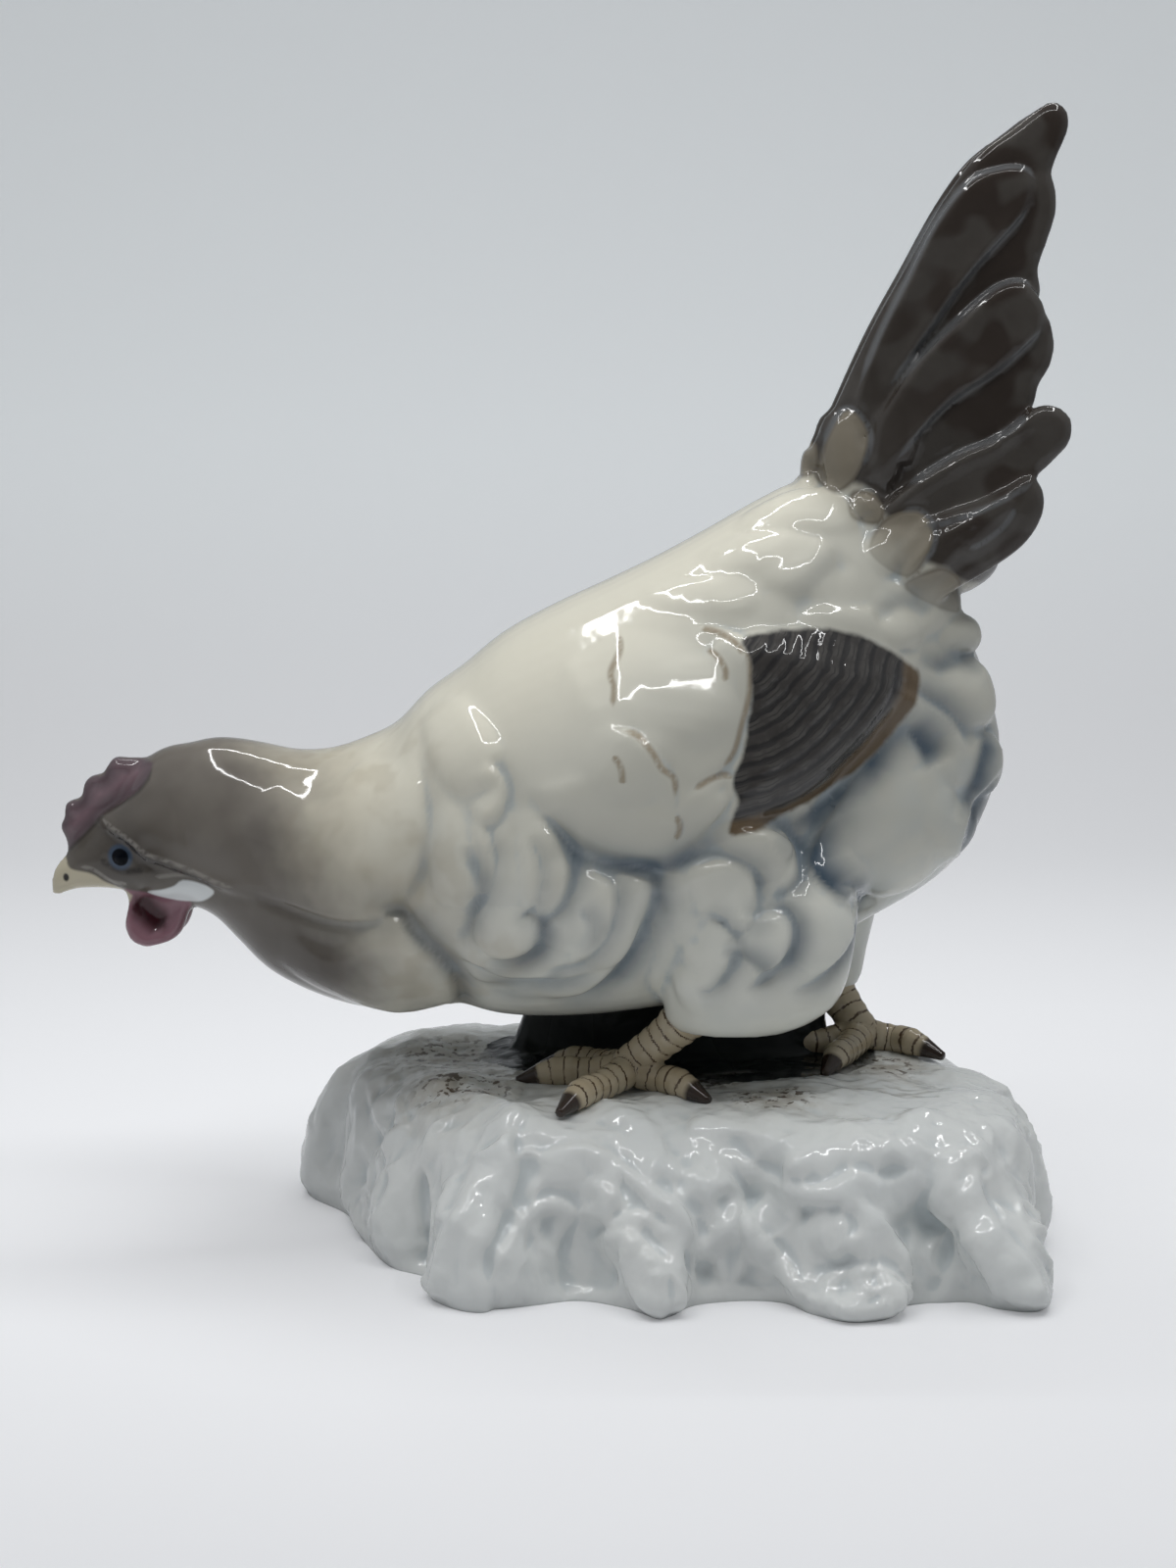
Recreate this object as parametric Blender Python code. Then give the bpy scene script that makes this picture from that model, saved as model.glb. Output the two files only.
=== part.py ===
"""Hen figurine: a glazed porcelain hen bending to feed, fired in one piece with its rock base.

The form is sculpted in millimetres and written in metres. The hen faces -X, +Z is up, and the
flat underside of the rock is at Z = 0. Heights on the bird are measured from the top of the rock,
so the bird stands on the rock whatever its height is.
"""

import math

import bmesh
import bpy
import numpy as np
from mathutils import Vector, noise
from mathutils.bvhtree import BVHTree

MM = 0.001

# Driving sizes, in millimetres
ROCK_HEIGHT = 32.0
BODY_HALF_WIDTH = 38.0
PLUMAGE_HEIGHT = 3.6
WING_HEIGHT = 4.4
WING_COVERT_HEIGHT = 2.6
WING_FEATHER_HEIGHT = 0.8
WING_FEATHER_WIDTH = 3.7
HACKLE_HEIGHT = 2.6
BREAST_HEIGHT = 2.2
FLUFF_HEIGHT = 5.0
TAIL_FEATHER_THICKNESS = 5.0
TAIL_HALF_SPREAD = 15.8
COMB_THICKNESS = 5.6
WATTLE_THICKNESS = 5.0
BROW_HEIGHT = 1.6
EYE_DIAMETER = 5.2
SHANK_DIAMETER = 8.4
TOE_DIAMETER = 6.4
CLAW_LENGTH = 7.0

# How finely the skin is made, in millimetres and as a share of its triangles
SKIN_STEP = 1.0
SMOOTH_PASSES = 3
KEPT_SHARE = 0.046
LOBE_RINGS = 15
RING_POINTS = 18
SINK = 1.6
CAST_DISTANCE = 40.0
EYE_DISTANCE = 200.0

GLAZE_WHITE = (0.72, 0.73, 0.70, 1.0)
GLAZE_ROUGHNESS = 0.08

# The bird's main mass, cut across: station along X, top, bottom, and the width as a share of the body's
BODY = [
    (-99.9, 38.3, 35.4, 0.015), (-99.2, 40.6, 34.9, 0.037), (-97.5, 42.6, 35.6, 0.060),
    (-95.0, 45.0, 36.4, 0.088), (-92.0, 48.2, 36.6, 0.124), (-89.0, 51.4, 36.6, 0.166),
    (-85.5, 54.4, 36.2, 0.212), (-81.5, 57.6, 35.0, 0.258), (-77.0, 62.6, 34.0, 0.295),
    (-72.0, 65.6, 33.3, 0.326), (-67.0, 66.6, 31.0, 0.363), (-62.0, 66.3, 26.0, 0.410),
    (-57.0, 65.4, 21.0, 0.463), (-51.0, 64.2, 17.5, 0.526), (-44.0, 64.5, 14.8, 0.605),
    (-37.0, 66.8, 13.2, 0.684), (-31.0, 69.8, 13.2, 0.750), (-25.0, 76.0, 14.2, 0.803),
    (-18.0, 81.0, 14.0, 0.855), (-10.0, 87.5, 12.2, 0.916), (0.0, 93.0, 11.8, 0.968),
    (10.0, 97.6, 12.4, 1.0), (20.0, 102.4, 13.6, 1.0), (30.0, 107.8, 15.0, 0.96),
    (40.0, 113.5, 18.0, 0.895), (48.0, 117.0, 22.5, 0.816), (56.0, 116.0, 27.5, 0.724),
    (64.0, 110.0, 32.0, 0.632), (71.0, 102.0, 36.0, 0.526), (77.0, 95.5, 40.5, 0.421),
    (82.0, 85.0, 46.5, 0.303), (85.5, 76.0, 54.0, 0.184), (87.5, 68.0, 60.0, 0.066),
]
BODY_WIDEST = 0.45
BODY_SQUARENESS = 2.2

# Limbs under the plumage: centre, then half sizes along X and Y, from the top down
NEAR_THIGH = [
    (40.0, -17.0, 56.0, 14.0, 10.0), (40.0, -21.0, 44.0, 18.0, 13.5), (39.5, -22.5, 30.0, 18.0, 14.5),
    (38.0, -22.5, 20.0, 17.0, 13.0), (36.0, -22.0, 15.5, 14.5, 11.0), (34.5, -21.5, 13.0, 11.0, 8.0),
]
FAR_THIGH = [
    (50.0, 17.0, 56.0, 14.0, 10.0), (50.0, 21.0, 44.0, 17.5, 13.5), (51.0, 21.5, 30.0, 15.5, 13.0),
    (53.0, 20.5, 21.0, 11.5, 10.0), (55.5, 18.0, 15.0, 7.5, 7.0), (56.5, 17.0, 12.5, 4.5, 4.5),
]
TAIL_ROOT = [
    (61.0, 0.0, 88.0, 16.0, 12.0), (61.5, 0.0, 102.0, 15.5, 13.0), (62.0, 0.0, 112.0, 12.5, 11.5),
    (60.5, 0.0, 122.0, 9.5, 9.0), (62.0, 0.0, 132.0, 6.0, 5.5),
]

# Puffed feathers on both sides: root and tip seen from the side, width, and share of the full height
PLUMAGE = [
    (-22.5, 76.0, -11.5, 60.0, 15.0, 0.55), (-21.0, 56.0, -16.0, 39.0, 12.5, 0.7),
    (-11.5, 58.0, -7.5, 38.5, 12.0, 0.8), (-4.0, 56.0, -1.0, 39.5, 10.5, 0.9),
    (-9.5, 42.0, -10.0, 29.5, 12.5, 0.8), (1.0, 50.0, 2.0, 30.0, 13.0, 0.5),
    (10.0, 47.0, 9.0, 27.0, 13.0, 0.5), (-16.0, 34.0, -9.0, 22.0, 14.0, 0.35),
    (30.5, 53.5, 44.5, 47.5, 11.5, 1.2), (26.0, 49.5, 36.0, 37.5, 13.0, 1.0),
    (21.5, 50.0, 24.5, 37.0, 9.5, 0.5), (26.0, 42.0, 31.0, 25.5, 12.0, 0.6),
    (37.0, 43.0, 40.0, 27.0, 13.0, 0.8), (48.5, 46.0, 51.0, 27.0, 15.5, 1.0),
    (26.5, 30.0, 28.5, 17.0, 13.0, 0.4), (72.0, 76.0, 86.0, 76.5, 15.0, 0.8),
    (74.5, 67.0, 87.5, 60.0, 14.0, 0.8), (72.0, 57.0, 82.0, 45.0, 14.0, 0.5),
    (58.0, 82.0, 77.0, 74.0, 15.0, 0.5), (60.0, 94.0, 71.0, 89.0, 10.0, 0.6),
    (67.0, 91.0, 78.0, 98.0, 10.5, 1.0), (74.0, 89.0, 82.0, 87.0, 8.0, 1.0),
    (25.0, 106.0, 55.0, 99.0, 15.0, 0.4), (12.0, 96.0, 40.0, 97.0, 11.0, 0.3),
    (33.0, 112.0, 59.0, 110.0, 15.0, 0.45), (46.5, 92.0, 67.0, 89.0, 9.0, 0.6),
    (56.0, 113.5, 56.0, 130.5, 8.5, 1.1), (49.5, 114.5, 49.5, 124.5, 4.5, 0.8),
    (60.5, 107.0, 60.0, 115.2, 5.0, 0.9), (61.0, 102.5, 71.0, 108.5, 10.0, 1.3),
    (68.0, 95.0, 76.0, 98.0, 7.5, 0.9), (62.5, 97.0, 71.0, 94.0, 6.0, 0.5),
]
PLUMAGE_ROOT_REACH = 0.35

# Raised fields on both sides: outline seen from the side, and how crisp the edge is there
WING = [
    (-6.0, 62.0, 0.6), (-4.3, 60.0, 0.9), (-2.0, 56.4, 1.0), (2.8, 52.2, 1.0), (8.8, 49.4, 1.0),
    (16.0, 47.9, 1.0), (22.0, 48.2, 1.0), (27.3, 51.0, 1.0), (33.0, 56.0, 1.0), (36.0, 66.0, 0.8),
    (37.0, 80.0, 0.8), (33.0, 91.0, 0.4), (14.0, 99.0, 0.1), (-2.0, 93.0, 0.0), (-8.0, 77.0, 0.2),
]
WING_TIP = [
    (30.0, 88.5, 0.9), (44.0, 91.0, 0.9), (55.0, 90.5, 0.9), (63.0, 88.0, 1.0), (67.5, 82.0, 1.0),
    (64.5, 75.0, 1.0), (57.0, 67.0, 1.0), (48.5, 60.0, 1.0), (40.5, 56.5, 1.0), (31.0, 55.0, 1.0),
    (24.0, 66.0, 0.2), (24.0, 78.0, 0.2),
]
WING_COVERTS = [
    (16.0, 80.0, 36.0, 77.0, 21.0, 0.28), (4.0, 71.0, 22.0, 63.0, 17.0, 0.25),
    (20.0, 56.0, 32.8, 60.5, 8.5, 0.25), (14.0, 57.0, 23.3, 55.0, 8.0, 0.22),
]
HACKLE = [
    (-26.0, 67.0, 0.5), (-24.0, 57.0, 0.9), (-24.5, 48.5, 1.0), (-26.5, 43.0, 1.0), (-30.0, 38.0, 1.0),
    (-35.0, 35.2, 1.0), (-41.0, 34.6, 1.0), (-48.0, 36.0, 0.9), (-56.0, 39.0, 0.6), (-66.0, 42.0, 0.1),
    (-74.0, 54.0, 0.0), (-62.0, 65.0, 0.0), (-46.0, 66.0, 0.0), (-34.0, 70.0, 0.2),
]
CROP = [
    (-59.0, 37.0, 0.1), (-50.0, 34.0, 0.1), (-41.0, 33.0, 0.2), (-33.0, 34.0, 0.8), (-26.0, 31.0, 1.0),
    (-21.0, 25.0, 1.0), (-19.0, 18.0, 1.0), (-23.0, 12.5, 0.8), (-34.0, 10.5, 0.3), (-46.0, 12.0, 0.0),
    (-57.0, 18.0, 0.0), (-64.0, 28.0, 0.0),
]
BREAST = [
    (-20.0, 52.0, 0.3), (-12.0, 57.0, 0.2), (0.0, 56.0, 0.2), (9.0, 50.5, 0.5), (15.5, 47.0, 0.9),
    (18.2, 42.1, 1.0), (17.0, 37.2, 1.0), (14.3, 31.0, 1.0), (10.0, 24.8, 1.0), (5.2, 20.6, 1.0),
    (-3.0, 18.0, 0.9), (-11.0, 18.5, 0.8), (-18.0, 23.0, 0.7), (-22.5, 31.0, 0.8), (-24.0, 42.0, 0.6),
]
FLUFF = [
    (57.5, 66.0, 0.5), (50.5, 55.0, 0.9), (47.8, 47.7, 1.0), (49.6, 44.0, 1.0), (53.3, 41.0, 1.0),
    (59.5, 37.5, 1.0), (68.0, 38.0, 1.0), (75.0, 42.5, 0.9), (80.0, 50.5, 0.8), (81.0, 61.0, 0.5),
    (74.0, 69.5, 0.4), (65.0, 70.5, 0.4),
]

# Long wing feathers run beside the wing's rear edge, each one further in
WING_REAR_EDGE = [(33.0, 57.0), (42.0, 59.0), (50.0, 63.2), (57.5, 70.0), (63.5, 77.5), (65.0, 83.5)]
WING_FEATHERS = 10
WING_FEATHER_PITCH = 2.75

# Tail feathers: place between the middle and the outer one, and outline seen from the side
TAIL = [
    (0.32, [(49.5, 120.0), (50.5, 125.4), (52.8, 128.7), (60.3, 145.2), (66.8, 157.1), (73.2, 168.8),
           (79.6, 177.9), (86.1, 183.0), (92.6, 187.6), (95.9, 187.2), (97.0, 183.7), (95.0, 178.4),
           (92.0, 172.0), (80.0, 158.0), (66.0, 136.0), (58.0, 120.0)]),
    (0.44, [(56.3, 125.0), (56.8, 132.0), (58.9, 138.0), (62.1, 145.2), (66.6, 154.4), (71.7, 164.8),
           (76.8, 171.9), (80.7, 174.8), (86.8, 176.1), (89.8, 174.3), (90.1, 171.2), (88.5, 167.4),
           (85.6, 163.8), (81.7, 159.6), (77.8, 155.0), (73.3, 148.5), (68.8, 141.9), (64.9, 136.7),
           (61.6, 130.7), (60.4, 122.0)]),
    (0.35, [(86.0, 175.0), (90.9, 176.4), (94.0, 174.0), (94.8, 168.1), (93.3, 162.3), (91.7, 157.1),
           (91.8, 151.0), (84.0, 146.0), (72.0, 134.0), (66.0, 126.0), (66.0, 136.0), (74.0, 151.0)]),
    (0.60, [(59.5, 118.0), (60.5, 126.5), (63.5, 132.0), (68.6, 139.3), (75.1, 145.8), (80.9, 151.3),
           (84.8, 153.9), (88.8, 154.3), (91.9, 151.0), (92.6, 148.4), (91.3, 145.2), (87.8, 141.6),
           (83.2, 137.9), (79.3, 135.3), (74.7, 132.0), (70.1, 127.4), (66.2, 122.8), (63.0, 115.0)]),
    (0.51, [(88.0, 150.5), (92.9, 148.8), (94.6, 143.9), (94.1, 139.3), (91.9, 135.3), (90.6, 130.7),
           (84.0, 122.0), (72.0, 114.0), (64.0, 112.0), (66.0, 121.0), (74.0, 131.0), (82.0, 139.0)]),
    (0.79, [(61.0, 109.0), (64.7, 114.2), (70.6, 118.4), (77.1, 122.2), (82.4, 124.6), (87.3, 128.2),
            (91.2, 131.4), (94.8, 131.3), (97.4, 128.8), (97.2, 124.8), (95.0, 122.0), (91.8, 118.9),
            (86.6, 115.6), (80.0, 112.3), (73.4, 109.5), (66.0, 105.0)]),
    (0.92, [(64.0, 101.0), (67.0, 107.5), (73.1, 110.6), (81.0, 113.3), (86.3, 116.0), (90.3, 118.0),
            (92.4, 115.0), (92.0, 110.6), (89.1, 105.8), (83.9, 101.6), (78.0, 98.0), (70.0, 94.0)]),
    (1.0, [(66.0, 99.0), (69.0, 104.5), (74.0, 108.5), (80.0, 112.0), (84.5, 114.6), (86.9, 113.7),
            (84.9, 109.3), (81.0, 105.8), (77.1, 103.4), (71.0, 98.0)]),
]
# Solid porcelain between them: path, width, and thickness as a share of the tail's half spread
TAIL_WEB = [
    ([(58.0, 108.0), (67.0, 139.0), (77.0, 156.0), (86.0, 171.0)], 18.0, 0.62),
    ([(62.0, 106.0), (73.0, 128.0), (80.0, 139.0), (86.0, 149.0)], 28.0, 1.0),
    ([(64.0, 102.0), (75.0, 117.0), (82.0, 123.0), (88.0, 128.0)], 24.0, 1.46),
    ([(66.0, 96.0), (74.0, 103.0), (80.0, 106.0), (84.0, 109.0)], 20.0, 1.77),
]
TAIL_LEAN = 0.10
TAIL_ROOT_X = 62.0

# Head
COMB = [
    (-96.0, 43.6), (-96.9, 46.6), (-98.0, 48.8), (-97.0, 50.6), (-96.9, 53.1), (-95.4, 54.3),
    (-93.4, 54.5), (-93.1, 56.6), (-92.4, 58.4), (-90.7, 59.3), (-88.9, 59.4), (-88.0, 61.4),
    (-86.6, 62.9), (-84.4, 62.7), (-80.9, 62.6), (-77.5, 61.5), (-80.0, 56.0), (-86.0, 50.5), (-92.0, 45.0),
]
WATTLE = [
    (-84.4, 38.0), (-84.0, 34.6), (-84.7, 31.4), (-84.8, 29.0), (-83.6, 26.6), (-81.1, 25.4),
    (-78.4, 25.8), (-75.2, 27.0), (-73.3, 29.1), (-72.2, 32.4), (-71.3, 35.0), (-74.0, 38.5), (-80.0, 40.0),
]
WATTLE_OFFSET = 4.0
BROW = [
    (-92.5, 48.0), (-89.0, 50.8), (-84.0, 47.8), (-79.0, 44.3), (-72.0, 41.4), (-65.0, 39.0), (-58.0, 36.5),
]
BROW_WIDTH = 3.4
EYE = (-85.0, 44.0)
EARLOBE = (-79.0, 36.0, -65.5, 38.3, 5.4)

# Feet: places on the rock's top, seen from above
NEAR_SHANK = [(27.0, -20.0, 17.0), (22.0, -18.5, 11.5), (16.5, -16.5, 5.5), (14.5, -15.8, 2.6)]
FAR_SHANK = [(55.5, 17.5, 17.0), (59.0, 16.0, 10.5), (62.0, 14.0, 5.0), (63.0, 13.5, 2.6)]
NEAR_TOES = [
    [(15.0, -15.8), (7.0, -13.5), (0.0, -13.0)],
    [(14.0, -14.0), (8.5, -6.5), (3.5, -4.0)],
    [(15.0, -16.5), (9.0, -24.0), (5.0, -30.5)],
    [(15.0, -16.0), (20.5, -18.5), (24.5, -22.5)],
]
FAR_TOES = [
    [(63.0, 13.5), (69.0, 14.0), (73.0, 11.0)],
    [(62.0, 13.5), (54.5, 10.5), (49.0, 9.5)],
    [(62.5, 13.0), (59.0, 5.0), (56.5, -0.5)],
    [(63.0, 14.0), (61.5, 20.0), (62.5, 25.0)],
]
SUPPORT = [
    (25.0, 13.0, 24.0, 30.0, 14.0), (25.0, 14.0, 12.0, 30.5, 12.5),
    (24.0, 15.0, 4.0, 32.0, 14.0), (24.0, 15.0, -8.0, 36.0, 18.0),
]

# The rock: its outline on the table, seen from above
FOOTPRINT = [
    (-52.5, 20.3), (-50.0, 14.0), (-42.5, 3.4), (-38.0, -12.6), (-31.5, -29.0), (-24.0, -36.2),
    (-22.0, -47.5), (-15.0, -54.5), (-4.2, -51.5), (5.0, -49.0), (13.7, -53.0), (20.6, -57.8),
    (26.0, -51.5), (35.0, -49.0), (43.0, -50.0), (47.4, -56.0), (54.5, -59.5), (61.4, -57.4),
    (65.0, -51.6), (76.0, -49.2), (82.0, -53.2), (88.5, -54.0), (92.0, -45.0), (90.5, -28.0),
    (95.2, -18.0), (97.8, -3.0), (98.0, 10.0), (94.0, 28.0), (86.0, 42.0), (74.0, 49.0),
    (60.0, 54.0), (45.0, 60.0), (30.0, 56.0), (15.0, 61.5), (0.0, 57.0), (-14.0, 60.0),
    (-28.0, 55.0), (-38.0, 49.0), (-47.0, 38.0), (-53.0, 29.0),
]
# Rings of the rock: how far in from the footprint, and the height as a share of the rock's
ROCK_PROFILE = [
    (1.0, -0.12), (0.3, 0.0), (0.0, 0.08), (1.6, 0.22), (4.2, 0.42), (7.6, 0.60), (11.5, 0.75),
    (16.0, 0.87), (22.0, 0.95), (30.0, 0.99), (60.0, 1.0),
]
# Ridges and hollows of the rock: path in space, reach to each side, and height (a hollow's is negative)
ROCK_RELIEF = [
    ([(-20.0, -10.5, 29.5), (-15.0, -22.0, 29.0), (-11.0, -25.0, 29.5), (-7.5, -32.0, 27.5)], 3.2, 2.6),
    ([(-14.0, -16.0, 30.0), (-8.0, -22.0, 30.5)], 4.5, -1.4),
    ([(-20.5, -13.0, 26.0), (-19.0, -23.0, 23.0), (-14.5, -35.5, 20.0)], 3.8, -2.0),
    ([(-6.0, -34.0, 27.5), (-8.5, -40.5, 23.0), (-12.0, -45.0, 18.5), (-17.0, -47.5, 12.5),
      (-19.5, -49.0, 6.0), (-21.5, -47.5, 0.0)], 4.4, 3.4),
    ([(-13.5, -37.5, 20.0), (-21.5, -31.0, 15.0), (-25.0, -31.0, 10.0), (-25.5, -36.0, 4.0)], 4.8, -3.6),
    ([(-31.0, -21.5, 12.0), (-29.5, -30.0, 5.5)], 4.5, 1.8),
    ([(-24.0, -21.5, 20.5), (-29.5, -18.0, 17.0), (-35.5, -4.0, 16.0)], 3.2, 2.0),
    ([(-36.5, -1.5, 15.0), (-40.0, 0.5, 7.0), (-38.0, -12.5, 2.0)], 4.2, 1.8),
    ([(-33.0, -12.0, 26.0), (-38.0, -8.0, 14.0)], 3.6, -1.8),
    ([(-42.0, 10.0, 26.0), (-46.0, 8.0, 12.0)], 4.2, -1.8),
    ([(-42.0, 20.0, 30.0), (-47.0, 15.0, 18.0), (-51.0, 16.0, 4.0)], 5.0, 2.0),
    ([(-6.0, -34.0, 27.5), (2.5, -40.5, 25.0), (8.0, -41.0, 24.5)], 3.2, 1.5),
    ([(-6.0, -47.5, 17.5), (1.5, -48.0, 11.0), (4.0, -48.0, 5.0)], 7.0, -2.8),
    ([(10.0, -44.0, 20.0), (14.5, -49.0, 14.0), (15.5, -52.0, 9.0), (20.0, -57.5, 1.0)], 3.2, 2.6),
    ([(22.5, -50.0, 15.0), (22.0, -54.0, 9.5), (21.5, -57.0, 1.0)], 3.0, 1.8),
    ([(10.0, -28.5, 31.0), (16.0, -37.0, 28.0), (19.5, -43.0, 23.0), (25.5, -44.0, 21.0)], 2.6, 1.7),
    ([(2.5, -41.5, 24.5), (10.0, -40.0, 26.0), (16.0, -42.0, 23.5)], 2.4, 1.4),
    ([(16.0, -45.0, 20.5), (19.5, -48.5, 17.5), (25.5, -46.0, 19.0)], 2.4, 1.6),
    ([(12.0, -42.0, 23.5), (14.0, -45.0, 20.0)], 2.4, -1.5),
    ([(20.0, -38.0, 26.5), (23.0, -41.0, 24.0)], 2.4, -1.4),
    ([(30.5, -41.5, 22.5), (28.0, -45.0, 17.5), (31.0, -46.0, 13.0), (27.0, -47.5, 10.0)], 2.8, 2.2),
    ([(28.5, -35.0, 28.5), (35.5, -38.0, 27.5), (43.5, -42.0, 26.5), (45.5, -45.5, 24.0)], 3.0, 1.7),
    ([(45.5, -45.5, 24.0), (54.0, -45.5, 25.0), (64.0, -41.5, 27.5), (68.5, -36.0, 29.0)], 3.4, 2.0),
    ([(50.0, -36.0, 30.0), (60.0, -34.0, 30.0)], 5.0, -1.2),
    ([(35.5, -44.0, 17.5), (39.0, -44.0, 19.5)], 3.4, -2.8),
    ([(46.0, -49.0, 17.0), (55.5, -50.0, 18.0)], 4.4, -3.6),
    ([(27.0, -49.5, 6.0), (35.0, -49.0, 4.0), (38.0, -49.0, 2.0)], 5.0, -2.0),
    ([(38.0, -46.0, 13.0), (40.5, -48.0, 10.0), (44.0, -52.0, 6.5), (47.5, -56.0, 3.5), (54.0, -59.0, 2.0),
      (60.5, -58.0, 2.5), (64.0, -54.0, 5.0), (62.0, -52.0, 9.0)], 3.0, 3.2),
    ([(48.5, -54.0, 8.5), (54.0, -56.0, 7.0), (58.5, -55.0, 7.5)], 3.6, -3.0),
    ([(66.5, -47.5, 13.5), (72.0, -47.5, 13.5)], 3.8, -3.2),
    ([(72.0, -44.0, 21.0), (76.0, -48.0, 16.5), (80.0, -51.0, 11.5), (84.5, -53.5, 5.5), (89.0, -54.0, 1.0)],
     3.4, 3.4),
    ([(79.5, -42.0, 22.5), (84.0, -45.0, 17.0)], 3.6, -2.4),
    ([(85.5, -30.0, 24.0), (90.0, -28.0, 12.0)], 4.5, 1.6),
    ([(86.0, -18.0, 31.0), (92.0, -17.0, 21.0), (95.0, -16.0, 8.0)], 5.5, 2.0),
    ([(89.0, -8.0, 29.0), (94.0, -8.0, 15.0)], 3.8, -2.2),
    ([(87.0, 2.0, 32.0), (94.0, 2.0, 20.0), (97.5, 2.0, 6.0)], 6.9, 1.9),
    ([(84.0, 16.0, 31.0), (91.0, 17.0, 20.0)], 6.2, -1.4),
    ([(78.0, 30.0, 31.0), (88.0, 34.0, 18.0), (91.0, 36.0, 5.0)], 7.5, 1.9),
    ([(66.0, 44.0, 24.0), (67.0, 50.0, 10.0)], 7.5, -1.6),
    ([(46.0, 46.0, 28.0), (47.0, 54.0, 17.0), (46.0, 60.0, 4.0)], 7.5, 2.0),
    ([(30.0, 50.0, 22.0), (30.0, 56.0, 8.0)], 7.5, -1.4),
    ([(14.0, 46.0, 29.0), (15.0, 55.0, 17.0), (15.0, 61.0, 4.0)], 7.5, 2.0),
    ([(-16.0, 46.0, 31.0), (-15.0, 54.0, 18.0), (-14.0, 60.0, 4.0)], 8.1, 1.7),
    ([(-30.0, 46.0, 24.0), (-34.0, 50.0, 8.0)], 6.2, -1.4),
    ([(-38.0, 34.0, 34.0), (-46.0, 36.0, 20.0), (-48.0, 38.0, 5.0)], 8.1, 1.7),
    ([(-38.0, 14.0, 33.0), (-36.0, 24.0, 33.0)], 3.4, 2.6),
    ([(-30.0, 17.0, 32.0), (-28.0, 25.0, 32.0)], 3.2, 1.8),
    ([(-30.0, 42.0, 32.0), (-20.0, 46.0, 31.0)], 7.5, 1.9),
    ([(-26.0, 20.0, 32.0), (-12.0, 30.0, 32.0)], 7.5, 0.7),
    ([(2.0, 14.0, 32.0), (25.0, 8.0, 32.0), (48.0, 14.0, 32.0)], 9.0, 3.0),
    ([(74.0, -6.0, 32.0), (80.0, 10.0, 32.0)], 8.8, -0.9),
]
ROCK_CREST = 1.6
ROCK_SIDE_STEEPNESS = 0.6
ROCK_SOFTENING = 1.3
ROCK_GRAIN = 1.5
ROCK_GRAIN_SCALE = 0.05
ROCK_POINTS = 300


def spline_point(a, b, c, d, t):
    """A place on the curve from b to c that keeps the slope of its neighbours a and d."""
    bend = (2 * a - 5 * b + 4 * c - d) * t**2 + (3 * b - a - 3 * c + d) * t**3
    return 0.5 * (2 * b + (c - a) * t + bend)


def smooth_path(points, count):
    """Points on one smooth curve through the given ones, spaced by their share of the rows."""
    rows = np.array(points, float)
    last = len(rows) - 1
    padded = np.vstack([2 * rows[0] - rows[1], rows, 2 * rows[-1] - rows[-2]])
    path = []
    for place in np.linspace(0.0, last, count):
        i = min(int(place), last - 1)
        path.append(spline_point(*padded[i : i + 4], place - i))
    return np.array(path)


def smooth_outline(points, count):
    """Points on one smooth closed curve through the given ones."""
    rows = np.array(points, float)
    wrapped = np.vstack([rows[-1], rows, rows[0], rows[1]])
    path = []
    for place in np.linspace(0.0, len(rows), count, endpoint=False):
        i = int(place)
        path.append(spline_point(*wrapped[i : i + 4], place - i))
    return np.array(path)


def add_rings(clay, rings):
    """Adds one closed form that runs through the rings, with a point in the middle of each end."""
    made = [[clay.verts.new(point) for point in ring] for ring in rings]
    for one, two in zip(made, made[1:]):
        for i in range(len(one)):
            j = (i + 1) % len(one)
            clay.faces.new((one[i], one[j], two[j], two[i]))
    for ring, step in ((made[0], -1), (made[-1], 1)):
        middle = clay.verts.new(sum((vert.co for vert in ring), Vector()) / len(ring))
        for i in range(len(ring)):
            clay.faces.new((ring[i], ring[(i + step) % len(ring)], middle))


def signed_power(value, power):
    return math.copysign(abs(value) ** power, value)


def add_body(clay):
    rings = []
    for x, top, bottom, width in smooth_path(BODY, 3 * len(BODY)):
        widest = bottom + BODY_WIDEST * (top - bottom)
        half_width = max(width, 0.01) * BODY_HALF_WIDTH
        ring = []
        for angle in np.linspace(0.0, math.tau, 48, endpoint=False):
            across = signed_power(math.cos(angle), 2 / BODY_SQUARENESS)
            rise = signed_power(math.sin(angle), 2 / BODY_SQUARENESS)
            reach = top - widest if rise > 0 else widest - bottom
            ring.append((x, half_width * across, widest + reach * rise))
        rings.append(ring)
    add_rings(clay, rings)


def add_limb(clay, sections):
    """Adds a rounded mass from level elliptic sections."""
    rings = []
    for x, y, z, half_x, half_y in smooth_path(sections, 3 * len(sections)):
        ring = []
        for angle in np.linspace(0.0, math.tau, 28, endpoint=False):
            ring.append((x + half_x * math.cos(angle), y + half_y * math.sin(angle), z))
        rings.append(ring)
    add_rings(clay, rings)


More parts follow.
